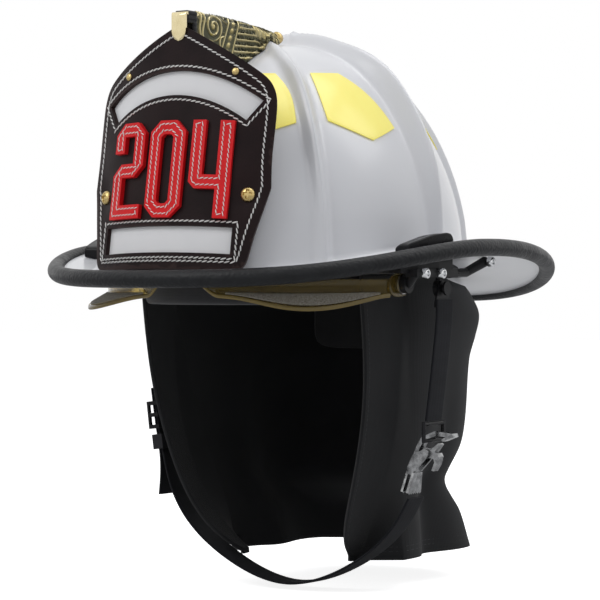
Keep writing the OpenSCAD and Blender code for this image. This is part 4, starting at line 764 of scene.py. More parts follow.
bm = bmesh.new()
for side in (-1, 1):
    turn = leather_frame(side * screw_x, screw_v)
    reach = post_reach(turn)
    bmesh.ops.create_cone(bm, cap_ends=True, segments=40, radius1=5.6, radius2=5, depth=reach + 0.5,
                          matrix=turn @ Matrix.Translation((0, 0, -post_from - reach / 2 - 0.25)))
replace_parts(piece("leather_posts", bm, moulded_black, sharp=40, soft=0.6), "front_spacers")


# Crown holder. Antique cast brass that rises from the crown: scrolls in front, a collar of beads,
# flutes behind it and leaves by the finial, dark in the hollows and rubbed bright on the relief.
casting_front, casting_back = -106.6, -16
holder_cuts = [(0, 5.5, 4), (0.08, 7, 4.8), (0.2, 8.5, 5.4), (0.36, 10, 6), (0.53, 9.4, 6.2),
               (0.66, 8.8, 6.2), (0.74, 8.4, 6), (0.81, 8, 5.8), (0.87, 7.4, 5.4), (0.92, 6.6, 5),
               (0.96, 5.8, 4.4), (1, 5, 4)]


def between(table, k):
    """Values at k of a table whose rows start with their own k, straight between rows."""
    for a, b in zip(table, table[1:]):
        if k <= b[0]:
            q = (k - a[0]) / (b[0] - a[0])
            return [lerp(a[i], b[i], q) for i in range(1, len(a))]
    return list(table[-1][1:])


def resampled(points, n):
    """n + 1 points evenly along a line of points."""
    lengths = [0.0]
    for a, b in zip(points, points[1:]):
        lengths.append(lengths[-1] + (b - a).length)
    found, i = [], 0
    for d in spaced(0, lengths[-1], n):
        while i < len(points) - 2 and lengths[i + 1] < d:
            i += 1
        span = lengths[i + 1] - lengths[i]
        found.append(points[i].lerp(points[i + 1], (d - lengths[i]) / span if span else 0))
    return found


def ridge(d, w):
    return math.exp(-(d / w) ** 2)


def volute(s, h, cx, cy, size, turn):
    """A scroll that winds in to its middle."""
    dx, dy = s - cx, h - cy
    r = math.hypot(dx, dy)
    if r > size * 1.15:
        return 0.0
    a = (math.atan2(dy, dx) * turn / (2 * math.pi)) % 1.0
    k = (r / (size * 0.46) - a) % 1.0
    arm = ridge(min(k, 1 - k), 0.2)
    return max(arm * ease((size * 1.1 - r) / (size * 0.2)), ridge(r, size * 0.2))


collar_from, collar_to, bead_gap = 33, 46, 4.6
scrolls = [(15, 11, 8.5, 1), (25, 20, 6.5, -1), (10, 27, 8, -1), (24, 34, 7, 1), (11, 44, 8, 1)]


def casting(s, h):
    """Relief of the casting: s along from its front, h down from its crest, both in mm."""
    band = s + 0.5 * h
    low = 0.12 + 0.1 * math.sin(1.9 * s + 2.3 * math.sin(0.9 * h)) * math.sin(1.7 * h)
    if collar_from <= band <= collar_to:
        beads = ridge(math.hypot(band - (collar_from + collar_to) / 2, h % bead_gap - bead_gap / 2), 2.0)
        lines = [ridge(band - at, 0.8) * 0.85 for at in (collar_from + 1.2, collar_to - 1.2)]
        return max(low, beads, *lines)
    if band > collar_to:
        flute = 0.5 + 0.5 * math.cos(2 * math.pi * (h + 0.06 * (s - 60)) / 3.7)
        value = flute ** 1.5 * 0.8
        dx, dy = 83 - s, h - 3
        r = math.hypot(dx, dy * 1.1)
        if r < 27:
            a = math.atan2(dy, dx)
            lobes = 0.5 + 0.5 * math.cos(9 * a + 0.22 * r)
            frill = 0.5 + 0.5 * math.cos(1.5 * r + 3 * lobes)
            leaf = (0.35 + 0.65 * lobes) * (0.6 + 0.4 * frill)
            value = lerp(value, leaf, ease((27 - r) / 5))
        return max(low, value)
    value = max(low, ridge(s - 2.2 - 0.8 * math.sin(0.35 * h), 0.9),
                ridge(s - 5.2 - 1.2 * math.sin(0.3 * h), 0.8))
    for cx, cy, size, turn in scrolls:
        value = max(value, volute(s, h, cx, cy, size, turn))
    sprig = 0.5 + 0.5 * math.cos(1.35 * s - 1.1 * h)
    return max(value, 0.6 * sprig * ease((4 - h) / 3), 0.45 * ridge(h - 6 - 2.5 * math.sin(0.25 * s), 1.0))


relief_depth = 1.4
crest_z = [(0, 161.2), (0.25, 160.5), (0.5, 158.8), (0.8, 156.6), (1, 154.4)]
rows, tones = [], []
for share in spaced(0, 1, 230):
    y = lerp(casting_front, casting_back, share)
    w, r = between(holder_cuts, share)
    zt = between(crest_z, share)[0]
    ze = shell_top(w, y) + 1
    zm = max(lerp(ze, zt, 0.45), ze + 3)
    outline = ((0, zt), (r * 0.7, zt - 1.2), (r, zt - 4), (lerp(r, w, 0.25), zm), (lerp(r, w, 0.7), ze + 3),
               (w, ze + 2), (w, ze))
    side = resampled([Vector((x, y, z)) for x, z in outline], 90)
    side = [side[0]] + [(a + b * 2 + c) / 4 for a, b, c in zip(side, side[1:], side[2:])] + [side[-1]]
    row = [Vector((-p.x, p.y, p.z)) for p in side[:0:-1]] + side
    girth = sum((side[k] - side[k + 30]).length for k in (0, 30, 60))
    tone = []
    for i, p in enumerate(row):
        a, b = row[max(0, i - 1)], row[min(len(row) - 1, i + 1)]
        n = Vector((b.z - a.z, 0, a.x - b.x)).normalized() * -1
        n = n if n.x * p.x + max(0, n.z) >= 0 else -n
        h = abs(i - 90) / 90 * girth
        value = casting(share * (casting_back - casting_front) - 1.5, h)
        fade = ease(min(share, 1 - share) * 40)
        tone.append(value)
        row[i] = p + n * (relief_depth * (value - 0.7)) * fade
    rows.append(row)
    tones.append(tone)
bm = laid(rows)
layer = bm.verts.layers.float.new("relief")
height_of = {}
for row, tone in zip(rows, tones):
    for p, value in zip(row, tone):
        height_of[(round(p.x, 3), round(p.y, 3), round(p.z, 3))] = value
for v in bm.verts:
    v[layer] = height_of.get((round(v.co.x, 3), round(v.co.y, 3), round(v.co.z, 3)), 0.4)
for end_y in (casting_front, casting_back):
    rim = [e for e in bm.edges if e.is_boundary and all(abs(v.co.y - end_y) < 0.2 for v in e.verts)]
    bmesh.ops.contextual_create(bm, geom=rim)
antique_brass = coat("antique_brass", (0.42, 0.36, 0.18), 0.34, metal=1.0,
                     blotch=((0.36, 0.29, 0.12), 7, 0.7), rough_span=0.1,
                     bumps=(("noise", 0.9, 0.3, 0.15),), edge_wear_and_glint=((0.80, 0.74, 0.52), 0.8),
                     inlay=("relief", (0.07, 0.07, 0.045)))
holder = piece("crown_casting", facing_out(bm, (0, -55, 120)), antique_brass, sharp=70)
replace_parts(holder, "crown_holder")

# Tongue and bumper. A plain polished brass tongue hooks over the leather's tip, which rests on a
# black moulded bumper in front of the casting.
tip_y, tip_z = leather_foot_y + leather_h * math.sin(lean), leather_foot_z + leather_h * math.cos(lean)
tongue_low, tongue_bend, tongue_top, tongue_w, hook_r = 141.2, 157.6, 159.4, 5.4, 1.8
drop_y = tip_y - (tip_z - 141.5) * math.tan(lean) - 0.3
bend = [Vector((0, drop_y, z)) for z in spaced(tongue_low, tongue_bend, 22)]
bend += [Vector((0, drop_y + hook_r * (1 - cs(a)), tongue_bend + hook_r * sn(a))) for a in spaced(15, 90, 5)]
bend += [Vector((0, lerp(drop_y + 3, -98, k), tongue_top)) for k in spaced(0, 1, 8)]
rows = []
for q in bend:
    up = min(1.0, max(0.0, (q.z - tongue_low) / 7.5))
    w = tongue_w * math.sqrt(1 - (1 - up) ** 2)
    if q.z > tongue_top - 0.4:
        w = lerp(tongue_w, 3.2, ease((q.y - drop_y - 1) / 9))
    dish = 0.5 if q.z < 158 else 0
    rows.append([q + Vector((w * k, -dish * (1 - k * k), 0)) for k in spaced(-1, 1, 14)])
bm = facing_out(laid(rows), (0, -100, 140))
pale_brass = coat("pale_brass", (0.78, 0.68, 0.42), 0.24, metal=1.0, blotch=((0.66, 0.55, 0.30), 5, 0.5),
                  rough_span=0.07, bumps=(("noise", 1.5, 0.08, 0.08), ("across", 0.4, 0.05, 0.02)))
tongue = piece("brass_tongue", bm, pale_brass, sharp=50, wall=1.7, soft=0.4)
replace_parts(tongue, "holder_tongue")
bm = bmesh.new()
bumper_back = -106.9
for front, z, tall in ((tip_y + 0.6, 156.4, 8), (tip_y + 6.8, 149.2, 10)):
    bmesh.ops.create_cube(bm, size=1, matrix=Matrix.Translation((0, (front + bumper_back) / 2, z))
                          @ Matrix.Diagonal((10, bumper_back - front, tall, 1)))
bmesh.ops.bevel(bm, geom=bm.edges[:], offset=1.0, segments=3, profile=0.5, affect="EDGES", material=-1)
bmesh.ops.subdivide_edges(bm, edges=[e for e in bm.edges if e.calc_length() > 4], cuts=7,
                          use_grid_fill=True)
for v in bm.verts:
    if abs(v.co.x) > 4.4:
        v.co.x *= 1 - 0.06 * (0.5 + 0.5 * math.cos(2 * math.pi * (v.co.z - 150.7) / 3.2))
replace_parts(piece("tip_bumper", bm, moulded_black, sharp=50), "holder_bumper")

# Finial. A turned brass acorn with a cap of leaves, screwed into the back of the casting.
profile = [(0.0, 0.0), (3.0, 0.0), (3.1, 0.8), (2.7, 1.1), (3.6, 1.5), (4.25, 2.3), (4.35, 3.2), (4.15, 4.3),
           (3.75, 5.6), (3.1, 6.9), (2.3, 8.0), (1.3, 8.9), (0.5, 9.3), (0.0, 9.4)]
finial_y, finial_z = -15.7, 151.2
bm = bmesh.new()
line = [bm.verts.new((p[0], p[1] + finial_y, 0)) for p in profile]
edges = [bm.edges.new(pair) for pair in zip(line, line[1:])]
bmesh.ops.spin(bm, geom=line + edges, cent=(0, 0, 0), axis=(0, 1, 0), dvec=(0, 0, 0), angle=math.tau,
               steps=60, use_merge=True)
bmesh.ops.remove_doubles(bm, verts=bm.verts, dist=0.001)
for v in bm.verts:
    d = v.co.y - finial_y
    r = math.hypot(v.co.x, v.co.z)
    if 1.0 < d < 3.8 and r > 2:
        grow = 0.99 + 0.012 * math.cos(8 * math.atan2(v.co.z, v.co.x))
        v.co.x *= grow
        v.co.z *= grow
bmesh.ops.translate(bm, vec=(0, 0, finial_z), verts=bm.verts)
bmesh.ops.recalc_face_normals(bm, faces=bm.faces)
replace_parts(piece("acorn_finial", bm, polished_brass, sharp=50, smooth=1), "holder_finial")

# Side blocks. Black moulded wedges on the brim that clamp the fittings below it.
block_h = 11
block_rise = [(0.0, 0.6), (0.05, 0.72), (0.42, 0.96), (0.52, 1.02), (0.84, 1.04), (0.93, 0.95), (0.97, 0.8),
              (1.0, 0.5)]


def block_pt(u, v, side, share):
    """Point of a block: u along it, v across it, share from 0 on the brim to 1 on its top."""
    p = brim_pt(lerp(68.6, 84.3, u), lerp(0.46, 0.89, v))
    h = between(block_rise, u)[0] * (1 - 0.12 * ease((v - 0.3) / 0.6)) * (1 - 0.12 * ease((0.15 - v) / 0.15))
    return Vector((p.x * side, p.y, p.z + 0.3 + block_h * h * share))


for word, side in (("left", 1), ("right", -1)):
    top, low = [[[block_pt(u, v, side, share) for v in spaced(0, 1, 12)] for u in spaced(0, 1, 28)]
                for share in (1, 0)]
    rows = []
    for row, low_row in zip([low[0]] + top + [low[-1]], [low[0]] + low + [low[-1]]):
        rows.append([low_row[0]] + row + [low_row[-1]])
    bm = laid(rows)
    bmesh.ops.contextual_create(bm, geom=[e for e in bm.edges if e.is_boundary])
    bmesh.ops.recalc_face_normals(bm, faces=bm.faces)
    block = piece("side_wedge_" + word, bm, moulded_black, sharp=40, soft=0.9)
    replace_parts(block, "side_block_" + word)

# Side brackets. Black coated steel under the brim: a flat bar with a clamp plate, an arm back to the
# brim, one forward to the shield's pivot and a lug that carries the chinstrap. The strap's anchor
# plates and its three-bar slide have the same coat.
coated_steel = coat("coated_steel", (0.010, 0.010, 0.011), 0.36, blotch=((0.018, 0.018, 0.020), 8, 0.6),
                    rough_span=0.1, bumps=(("noise", 0.5, 0.25, 0.06),), Specular_IOR_Level=0.14)


def finished(names, finish):
    """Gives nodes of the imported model, whose meshes stay as they are, their finish."""
    for name in names:
        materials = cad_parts[name].data.materials
        materials.clear()
        materials.append(finish)


finished(("side_bracket_left", "side_bracket_right", "anchor_plates", "ladder_slide"), coated_steel)

# Bracket screws. Chromed steel cap screws with a hexagon socket, turned into the brackets and the
# ends of their rear arms from outside.
# The near-white edges of the chrome are a painted highlight, not wear.
bright_chrome = coat("bright_chrome", (0.78, 0.79, 0.80), 0.12, metal=1.0,
                     blotch=((0.62, 0.63, 0.65), 3, 0.4), rough_span=0.05,
                     bumps=(("noise", 1.0, 0.06, 0.05),), edge_wear_and_glint=((0.9, 0.9, 0.9), 0.5))


def cap_screw(bm, place, r, h):
    """A cap screw whose axis is place's z: domed rim, chamfer and a hexagon socket."""
    ring = bmesh.ops.create_circle(bm, cap_ends=True, segments=48, radius=r, matrix=place)["verts"]
    across, over, up = place.to_3x3().transposed()
    centre = place.translation.copy()

    def drawn(face, radius, rise):
        """Extrudes a face by rise and brings its corners to the radius at their angle."""
        new = bmesh.ops.extrude_discrete_faces(bm, faces=[face])["faces"][0]
        for v in new.verts:
            flat = v.co - centre - up * (v.co - centre).dot(up)
            a = math.atan2(flat.dot(over), flat.dot(across))
            v.co = v.co - flat + flat.normalized() * radius(a) + up * rise
        return new

    face = ring[0].link_faces[0]
    for share, rise in ((1.0, 0.6), (0.93, 0.28), (0.72, 0.12)):
        face = drawn(face, lambda a, share=share: r * share, h * rise)
    bmesh.ops.inset_individual(bm, faces=[face], thickness=r * 0.22, depth=0)
    drawn(face, lambda a: r * 0.42 / math.cos(a % (math.pi / 3) - math.pi / 6), -h * 0.45)


arm_screw = brim_pt(101, 0.64) + Vector((3.5, 0, -brim_t - 3.7))
bm = bmesh.new()
for side in (1, -1):
    for x, y, z in ((124.6, -34, -2.5), (124.6, -14, -2.5), arm_screw):
        turn = Matrix.Rotation(math.radians(90 * side), 4, "Y")
        cap_screw(bm, Matrix.Translation((x * side, y, z)) @ turn, 3.4, 3.2)
bmesh.ops.recalc_face_normals(bm, faces=bm.faces)
cap_screws = piece("chrome_cap_screws", bm, bright_chrome, sharp=30, soft=0.15)
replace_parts(cap_screws, "bracket_screws")

# Eye shield. One sheet of amber polycarbonate 2.4 mm thick, curved round its pivots so that it
# swings along itself, with a flared frosted lip below and a raised notch over the nose. Its washers
# are plain steel, as are the clip and rivets of the hanging ring.
shield_r, shield_half, pivot_y, pivot_down = 88.5, 112.0, 34.0, 9.0


def shield_rad(x):
    return shield_r * max(0.0, 1 - (abs(x) / shield_half) ** 1.6) ** 0.625


def shield_top_z(x):
    return lerp(-pivot_down + shield_rad(min(abs(x), 66)) * sn(40), -6.2, ease((abs(x) - 52) / 20))


def shield_bot_z(x):
    return -14.5 + 9 * (1 - ease((abs(x) - 11.7) / 15.6))


def shield_at(x, z):
    r, dz = shield_rad(x), z + pivot_down
    return Vector((x, -pivot_y - math.sqrt(max(0.0, r * r - dz * dz)), z))


def lip_share(x):
    k = min(1.0, max(0.0, (abs(x) - 23.4) / 83.6))
    return max(0.0, math.sin(math.pi * k ** 1.6)) ** 1.2


def lip_pt(x, k):
    p = shield_at(x, shield_bot_z(x))
    s = lip_share(x) * 18.5 * k
    o = Vector((p.x * 0.35, p.y + 13.6, 0)).normalized()
    return p + o * s * 0.9 - Vector((0, 0, s * 0.46 + (1 - lip_share(x)) * 0.6 * k))


lens_half_w = 108
xs = [lens_half_w * spow(k, 0.85) for k in spaced(-1, 1, 120)]
rows = [[shield_at(x, lerp(shield_bot_z(x), shield_top_z(x), v)) for x in xs] for v in spaced(1, 0, 20)]
rows += [[lip_pt(x, k) for x in xs] for k in spaced(0.08, 1, 11)]
amber = coat("amber_polycarbonate", (0.50, 0.36, 0.08), 0.08, blotch=((0.42, 0.30, 0.07), 60, 0.6),
             rough_span=0.03, bumps=(("noise", 25, 0.03, 0.3),), Transmission_Weight=0.9, IOR=1.3, Alpha=0.9)
pivot = (0, -pivot_y, -pivot_down)
shield = piece("amber_lens", facing_out(laid(rows), pivot), amber, body="shield", sharp=50,
               wall=2.4)
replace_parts(shield, "eye_shield")
ear = bmesh.new()
for side in (1, -1):
    made = bmesh.ops.create_cone(ear, cap_ends=True, segments=48, radius1=8, radius2=8, depth=2.2,
                                 matrix=Matrix.Translation((side * 107.8, -pivot_y, -pivot_down))
                                 @ Matrix.Rotation(math.radians(90), 4, "Y"))["verts"]
    for v in made:
        ahead = -pivot_y - v.co.y
        if ahead > 0:
            v.co.y = -pivot_y - ahead * 1.9
            v.co.z -= 0.12 * ahead * 1.9
bmesh.ops.recalc_face_normals(ear, faces=ear.faces)
piece("lens_ears", ear, amber, body="shield", sharp=40, soft=0.4)
frosted = coat("frosted_edge", (0.44, 0.41, 0.35), 0.7, blotch=((0.18, 0.165, 0.13), 0.9, 0.9),
               bumps=(("grain", 1.0, 0.8, 0.3),), Specular_IOR_Level=0.3)
frost_in, frost_out = 30, 106
frost_xs = [x for x in xs if frost_in < abs(x) < frost_out]
rows = [[lip_pt(x, k) + Vector((x / 260, -0.3, 0.45)) for x in frost_xs] for k in spaced(0.06, 0.9, 8)]
for word, side in (("right", -1), ("left", 1)):
    bm = facing_out(laid([[p for p in row if p.x * side > 0] for row in rows]), (0, -34, -80))
    piece("frosted_lip_" + word, bm, frosted, body="shield", sharp=50, wall=0.3)


def ends_closed(bm):
    """Closes the open ends of a tube and turns its faces outwards."""
    bmesh.ops.holes_fill(bm, edges=[e for e in bm.edges if e.is_boundary])
    bmesh.ops.recalc_face_normals(bm, faces=bm.faces)
    return bm


rows = []
for x in xs:
    e = lip_pt(x, 1.0) + Vector((0, 0, -1.2))
    rows.append([e + Vector((0, -cs(a) * 0.9, sn(a) * 1.3)) for a in range(0, 360, 30)])
edge_amber = coat("amber_edge", (0.19, 0.135, 0.035), 0.2, blotch=((0.15, 0.11, 0.03), 9, 0.6),
                  bumps=(("noise", 4, 0.1, 0.2),), Specular_IOR_Level=0.4)
bm = ends_closed(laid(rows, closed=True))
piece("rolled_edge", bm, edge_amber, body="shield", sharp=60)
steel_grey = coat("steel_grey", (0.45, 0.45, 0.46), 0.35, metal=1.0, blotch=((0.3, 0.3, 0.31), 4, 0.5),
                  bumps=(("noise", 0.6, 0.15, 0.05),))
finished(("shield_washers", "ring_clip", "clip_rivets"), steel_grey)

# Impact liner. A cap of moulded polyurethane foam inside the dome, set back in front for the shield.
dark_foam = coat("dark_foam", (0.060, 0.060, 0.062), 0.85, blotch=((0.075, 0.075, 0.078), 30, 0.6),
                 bumps=(("noise", 0.4, 0.08, 0.015),), Specular_IOR_Level=0.1)


def cap_pt(e, front, f, t):
    length = front if cs(f) > 0 else e[1]
    return Vector((e[0] * cs(t) * sn(f), -length * cs(t) * cs(f), e[2] * sn(t)))


out_e, out_front = (105.7, 129.7, 143.2), 99
in_e, in_front = (90.7, 114.7, 124.2), 90.5
liner_low = -3
turns = [i * 5 for i in range(72)]


def liner_foot(e, front, z, share=1.0):
    return [Vector((*cap_pt(e, front, f, 0).xy * share, z)) for f in turns]


rows = [[Vector((0, 0, out_e[2]))] * 72]
rows += [[cap_pt(out_e, out_front, f, t) for f in turns] for t in spaced(84, 4, 18)]
rows += [liner_foot(out_e, out_front, z) for z in (0, liner_low + 1)]
rows += [liner_foot(out_e, out_front, liner_low, 0.985), liner_foot(in_e, in_front, liner_low, 1.015)]
rows += [liner_foot(in_e, in_front, z) for z in (liner_low + 1, 0)]
rows += [[cap_pt(in_e, in_front, f, t) for f in turns] for t in spaced(4, 84, 18)]
rows += [[Vector((0, 0, in_e[2]))] * 72]
liner = piece("foam_liner", laid(rows, closed=True), dark_foam, sharp=50)
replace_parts(liner, "impact_liner")

# Crown straps. Three webs of black nylon that cross under the crown, pinned to the liner by keys.
# The keys are moulded in black, like the ratchet, the band ends and the small parts of the strap.
black_webbing = coat("black_webbing", (0.010, 0.0105, 0.013), 0.75, blotch=((0.016, 0.017, 0.021), 8, 0.6),
                     bumps=(("along", 0.9, 0.3, 0.08), ("across", 0.8, 0.4, 0.10), ("noise", 0.4, 0.2, 0.06)),
                     on_cloth=True, Sheen_Weight=0.04, Sheen_Roughness=0.5, Specular_IOR_Level=0.15)


web_half_w = 10


def crown_row(a, t, i):
    """Points across web i, which runs at plan angle a, where it passes height angle t."""
    share = 0.974 - (0.1 + 0.028 * i) * ease((min(t, 180 - t) - 9) / 24)
    e = [k * share for k in in_e]
    q = (sn(a) * cs(t), -cs(a) * cs(t))
    length = in_front * share if q[1] < 0 else e[1]
    p = Vector((e[0] * q[0], length * q[1], e[2] * sn(t)))
    across = Vector((length * cs(a), e[0] * sn(a), 0)).normalized()
    return [p + across * web_half_w * s for s in spaced(-1, 1, 8)]


for i, a in enumerate((0, 60, 120)):
    bm = laid([crown_row(a, t, i) for t in spaced(9, 171, 60)], cloth=(20, 300))
    web = piece(f"crown_web_{i + 1}", facing_out(bm, (0, 0, -20)), black_webbing, wall=1.2)
    if i == 0:
        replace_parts(web, "crown_straps")
finished(("strap_keys", "ratchet_housing", "ratchet_knob", "band_end_left", "band_end_right", "strap_keeper",
          "strap_ring"), moulded_black)

# Headband. A strip of black nylon plastic round the forehead, with slots along it.
band_half_w, band_front, slot_z = 84, 88.5, 7.5


def in_slot(p):
    """Whether a point of the headband lies in one of the slots, which come every 14 degrees."""
    return abs(p.z - slot_z) < 2.2 and math.degrees(math.atan2(p.x, -p.y)) % 14 < 8


rows = [[Vector((band_half_w * sn(f), -band_front * cs(f), z)) for f in spaced(-100, 100, 120)]
        for z in spaced(18.4, -3, 10)]
bm = laid(rows)
gone = [f for f in bm.faces if in_slot(f.calc_center_median())]
bmesh.ops.delete(bm, geom=gone, context="FACES")
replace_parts(piece("head_band", facing_out(bm, (0, 0, 8)), moulded_black, wall=1.6, soft=0.3),
            "headband")

# Brow pad. A roll of grey fire-proof cloth over foam below the liner's front edge.
pad_cloth = coat("pad_cloth", (0.022, 0.022, 0.024), 0.9, blotch=((0.015, 0.015, 0.017), 12, 0.6),
                 bumps=(("along", 0.9, 0.5, 0.15), ("across", 0.9, 0.5, 0.15), ("noise", 3, 0.2, 0.3)),
                 on_cloth=True, Sheen_Weight=0.2)
section = [(spow(cs(a), 0.62), spow(sn(a), 0.55)) for a in spaced(0, 360, 28)[:-1]]
brow_half_turn, brow_back, brow_front = 72, 87, 103
rows = []
for f in spaced(-brow_half_turn, brow_half_turn, 96):
    end = math.sqrt(1 - (f / brow_half_turn) ** 10)
    row = []
    for c, s in section:
        depth = 4.5 - 4.5 * c * max(0.05, end)
        z = -12.65 + 9.35 * s * lerp(0.75, 1, end)
        row.append(Vector(((brow_back - depth) * sn(f), -(brow_front - depth) * cs(f), z)))
    rows.append(row)
bm = ends_closed(laid(rows, closed=True, cloth=(60, 240)))
brow = piece("brow_roll", bm, pad_cloth, sharp=70)
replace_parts(brow, "brow_pad")

# Nape pad. Foam in black cloth between the ratchet and the neck.
nape_half_w, nape_y, nape_z = 44, 100.7, -32
rows = []
for k in spaced(-1, 1, 44):
    end = math.sqrt(1 - k ** 6)
    row = []
    for a in spaced(0, 360, 28)[:-1]:
        row.append(Vector((nape_half_w * k, nape_y + 2.5 * spow(cs(a), 0.8) * (0.35 + 0.65 * end),
                           nape_z + 22 * spow(sn(a), 0.7) * lerp(0.62, 1, end))))
    rows.append(row)
bm = ends_closed(laid(rows, closed=True, cloth=(60, 90)))
nape_cloth = coat("nape_cloth", (0.009, 0.009, 0.010), 0.9, blotch=((0.014, 0.014, 0.015), 12, 0.6),
                  bumps=(("along", 0.9, 0.4, 0.12), ("across", 0.9, 0.4, 0.12), ("noise", 3, 0.2, 0.3)),
                  on_cloth=True, Sheen_Weight=0.1)
nape = piece("nape_cushion", bm, nape_cloth, sharp=70)
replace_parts(nape, "nape_pad")

# Ear and neck curtain. Three plies of black aramid cloth quilted together, hung round the back from
# one flap's front edge to the other's, with folds where the flaps lap the neck part and a flared hem.
back_reach = [(-191, 166), (-165, 148), (-152, 126), (-146, 116), (-140, 111), (-134, 115), (-118, 130),
              (-100, 136), (-60, 141), (-45, 150), (-30, 156), (-17, 143), (-8, 127.5), (-3, 125.5)]
neck_reach = [(-191, 69), (-165, 70), (-152, 73), (-140, 76), (-112, 84), (-60, 89.5), (-30, 93), (-3, 93)]


def smoothly(table, z):
    """Value at z of a table of (z, value), as one smooth curve through its points."""
    z = min(max(z, table[0][0]), table[-1][0])
    i = max(j for j in range(len(table) - 1) if table[j][0] <= z)
    a, b = table[max(0, i - 1)], table[i]
    c, d = table[i + 1], table[min(len(table) - 1, i + 2)]
    m0, m1 = (c[1] - a[1]) / (c[0] - a[0]), (d[1] - b[1]) / (d[0] - b[0])
    w = c[0] - b[0]
    k = (z - b[0]) / w
    return ((2 * k ** 3 - 3 * k * k + 1) * b[1] + (k ** 3 - 2 * k * k + k) * w * m0
            + (3 * k * k - 2 * k ** 3) * c[1] + (k ** 3 - k * k) * w * m1)


neck_share = 0.6


def curtain_pt(u, z):
    """Point of the curtain: u from -1 at the right flap's front edge to 1 at the left one's. The
    neck part takes neck_share of it on each side, and down is 0 near the top and 1 at the hem."""
    a, s = abs(u), -1 if u < 0 else 1
    down = min(1.0, max(0.0, (-20 - z) / 168))
    wide = smoothly(neck_reach, z)
    back = smoothly(back_reach, z)
    square = lerp(1, 0.667, min(1.0, max(0.0, (-5 - z) / 6)))
    mid_y = 34 * down
    if a <= neck_share:
        g = 90 * min(a / neck_share, 1)
        q = (wide * spow(sn(g), square), mid_y + (back - mid_y) * spow(cs(g), square))
    else:
        k = (a - neck_share) / (1 - neck_share)
        cheek = (93 - 47 * down ** 3, 4 + 16 * down ** 4)
        front = (86 - 42 * down ** 2.5, -44 + 23 * down + 30 * down ** 10)
        base = [lerp(b, c, ease(k * 4)) for b, c in zip((wide, mid_y), cheek)]
        q = tuple(lerp(b, c, k) for b, c in zip(base, front))
    lap_fold = 13 * math.exp(-((a - 0.5) / 0.055) ** 2) * down ** 1.6
    back_fold = 5 * math.exp(-((a - 0.34) / 0.08) ** 2) * down
    n = Vector((q[0], q[1] * 0.6 + 20)).normalized()
    ripple = 0.7 * down * math.sin(11 * a + 0.05 * z) * math.sin(0.021 * z)
    fold = lap_fold - back_fold + ripple
    return Vector((s * (q[0] - n.x * fold), q[1] - n.y * fold, z))


aramid = coat("aramid_cloth", (0.0105, 0.0108, 0.012), 0.95, blotch=((0.016, 0.0165, 0.018), 40, 0.7),
              bumps=(("along", 0.8, 0.35, 0.1), ("across", 0.8, 0.35, 0.1), ("noise", 9, 0.2, 0.6)),
              on_cloth=True, Sheen_Weight=0.10, Sheen_Roughness=0.6, Specular_IOR_Level=0.25)
zs = [-3.4, -5.5, -8] + spaced(-11, -190, 84)
us = spaced(-1, 1, 240)
rows = [[curtain_pt(u, z) for u in us] for z in zs]
flat_w = sum((b - a).length for a, b in zip(rows[40], rows[40][1:]))
flat_h = sum((rows[i + 1][0] - rows[i][0]).length for i in range(len(rows) - 1))
curtain = piece("neck_curtain", facing_out(laid(rows, cloth=(flat_w, flat_h)), (0, 20, -90)), aramid,
                sharp=80, wall=2.6)
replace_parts(curtain, "ear_curtain")
curtain_thread = coat("curtain_thread", (0.022, 0.022, 0.025), 0.7, blotch=((0.035, 0.035, 0.04), 2, 0.6),
                      bumps=(("twill", 0.5, 0.5, 0.1),))
bm = bmesh.new()


def on_curtain(u, z, out):
    p = curtain_pt(u, z)
    t = (curtain_pt(min(1, u + 0.004), z) - curtain_pt(max(-1, u - 0.004), z)).normalized()
    return p + Vector((-t.y, t.x, 0)) * -out


def seam(bm, points):
    """A row of short stitches through points given as (u, z)."""
    spots = [on_curtain(u, z, 0.1) for u, z in points]
    for a, b in zip(spots, spots[1:]):
        along, outward = (b - a).normalized(), Vector((a.x, a.y, 0)).normalized()
        stitch(bm, (a + b) / 2, along * (b - a).length * 0.42, outward.cross(along).normalized() * 0.28,
               outward * 0.3, around=6)


for hem_z in (-184, -181):
    seam(bm, [(u, hem_z) for u in spaced(-0.97, 0.97, 170)])
for side in (-1, 1):
    seam(bm, [(side * 0.968, z) for z in spaced(-12, -181, 56)])
curtain_seams = piece("curtain_stitching", bm, curtain_thread, sharp=80)

# Chinstrap. Flat woven aramid webbing 20 mm wide, from the anchor plates round the chin, with its
# loose end held outside a slide and a keeper on the wearer's right.
half_w, strap_y, web_t = 114.0, 7.0, 1.8


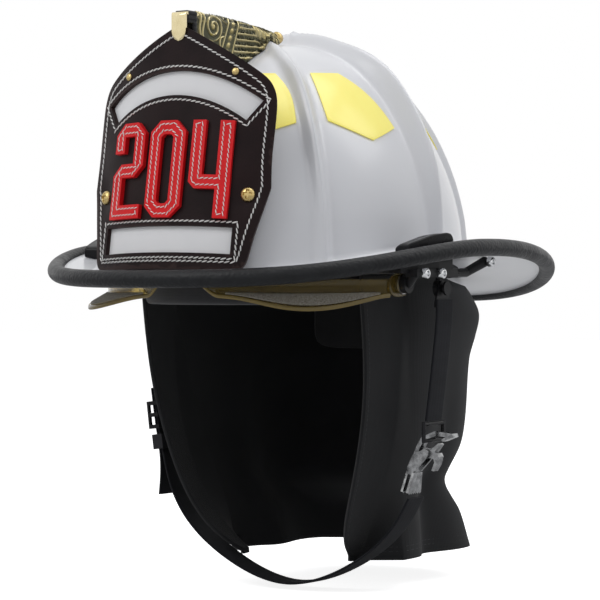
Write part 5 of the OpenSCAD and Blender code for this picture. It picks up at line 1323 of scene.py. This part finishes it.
def webbing(name, path, wide, node):
    """Webbing along a path in the x-z plane, with softly rounded, selvedged edges."""
    line = [Vector((p[0], 0, p[1])) for p in path]
    for _ in range(2):
        inner = [q for a, b in zip(line, line[1:]) for q in (a.lerp(b, 0.25), a.lerp(b, 0.75))]
        line = [line[0]] + inner + [line[-1]]
    length = sum((b - a).length for a, b in zip(line, line[1:]))
    line = resampled(line, max(12, round(length / 2.5)))
    rows = []
    for i, p in enumerate(line):
        t = (line[min(i + 1, len(line) - 1)] - line[max(i - 1, 0)]).normalized()
        n = Vector((-t.z, 0, t.x))
        row = []
        for a in spaced(0, 360, 20)[:-1]:
            flat = Vector((0, strap_y + wide / 2 * spow(cs(a), 0.25), 0))
            row.append(p + n * (web_t / 2 * spow(sn(a), 0.5)) + flat)
        rows.append(row)
    bm = ends_closed(laid(rows, closed=True, cloth=(2 * wide, length)))
    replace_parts(piece(name, bm, black_webbing, body="chinstrap", sharp=70), node)


route = [(half_w - inward, z) for inward, z in (
    (1, -30), (3, -52), (6.5, -80), (10, -104), (14, -124), (20, -146), (29, -162), (40, -174), (52, -183.5),
    (66, -192), (82, -199.5), (98, -204.5))]
plate_out = half_w + 1.2
plate_route = [(plate_out, -19), (plate_out, -26)]
clasp_tilt = math.radians(12)
lap = 2.3
ring_x = half_w - 13.5 + 3.2 * math.cos(clasp_tilt) + 16.4 * math.sin(clasp_tilt)
ring_z = -113.4 + 16.4 * math.cos(clasp_tilt) - 3.2 * math.sin(clasp_tilt)
webbing("strap_web_upper", plate_route + [(half_w + 1, -34), (half_w - 1.6, -56), (half_w - 4.6, -80),
                                          (ring_x, ring_z + 1.9)], 20, "strap_upper")
chin_route = route[5:] + [(0, -206.5)] + [(-x, z) for x, z in (plate_route + route)[::-1]]
webbing("strap_web_chin", chin_route, 20, "strap_chin")
tail_route = [(-half_w + inward - lap, z) for inward, z in (
    (6.5, -80), (10, -104), (14, -124), (14.4, -138), (13, -152))]
webbing("strap_web_tail", tail_route, 19, "strap_tail")

# Clasp and hanging ring. Plated cast zinc and steel wire: an open hook on a cheeked body with toothed
# jaws and a rocking latch, and the ring under the rear brim. Their edges are a little rounded.
cast_plate = coat("cast_plate", (0.40, 0.405, 0.41), 0.2, metal=1.0, blotch=((0.16, 0.162, 0.166), 4, 0.9),
                  rough_span=0.08, bumps=(("noise", 1.2, 0.25, 0.15),))
cast_nodes = ("quick_clasp", "clasp_latch", "hang_ring")
finished(cast_nodes, cast_plate)
for name in cast_nodes:
    modified(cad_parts[name], "worn_edge", "BEVEL", width=0.0004, segments=2, limit_method="ANGLE",
             angle_limit=math.radians(25))
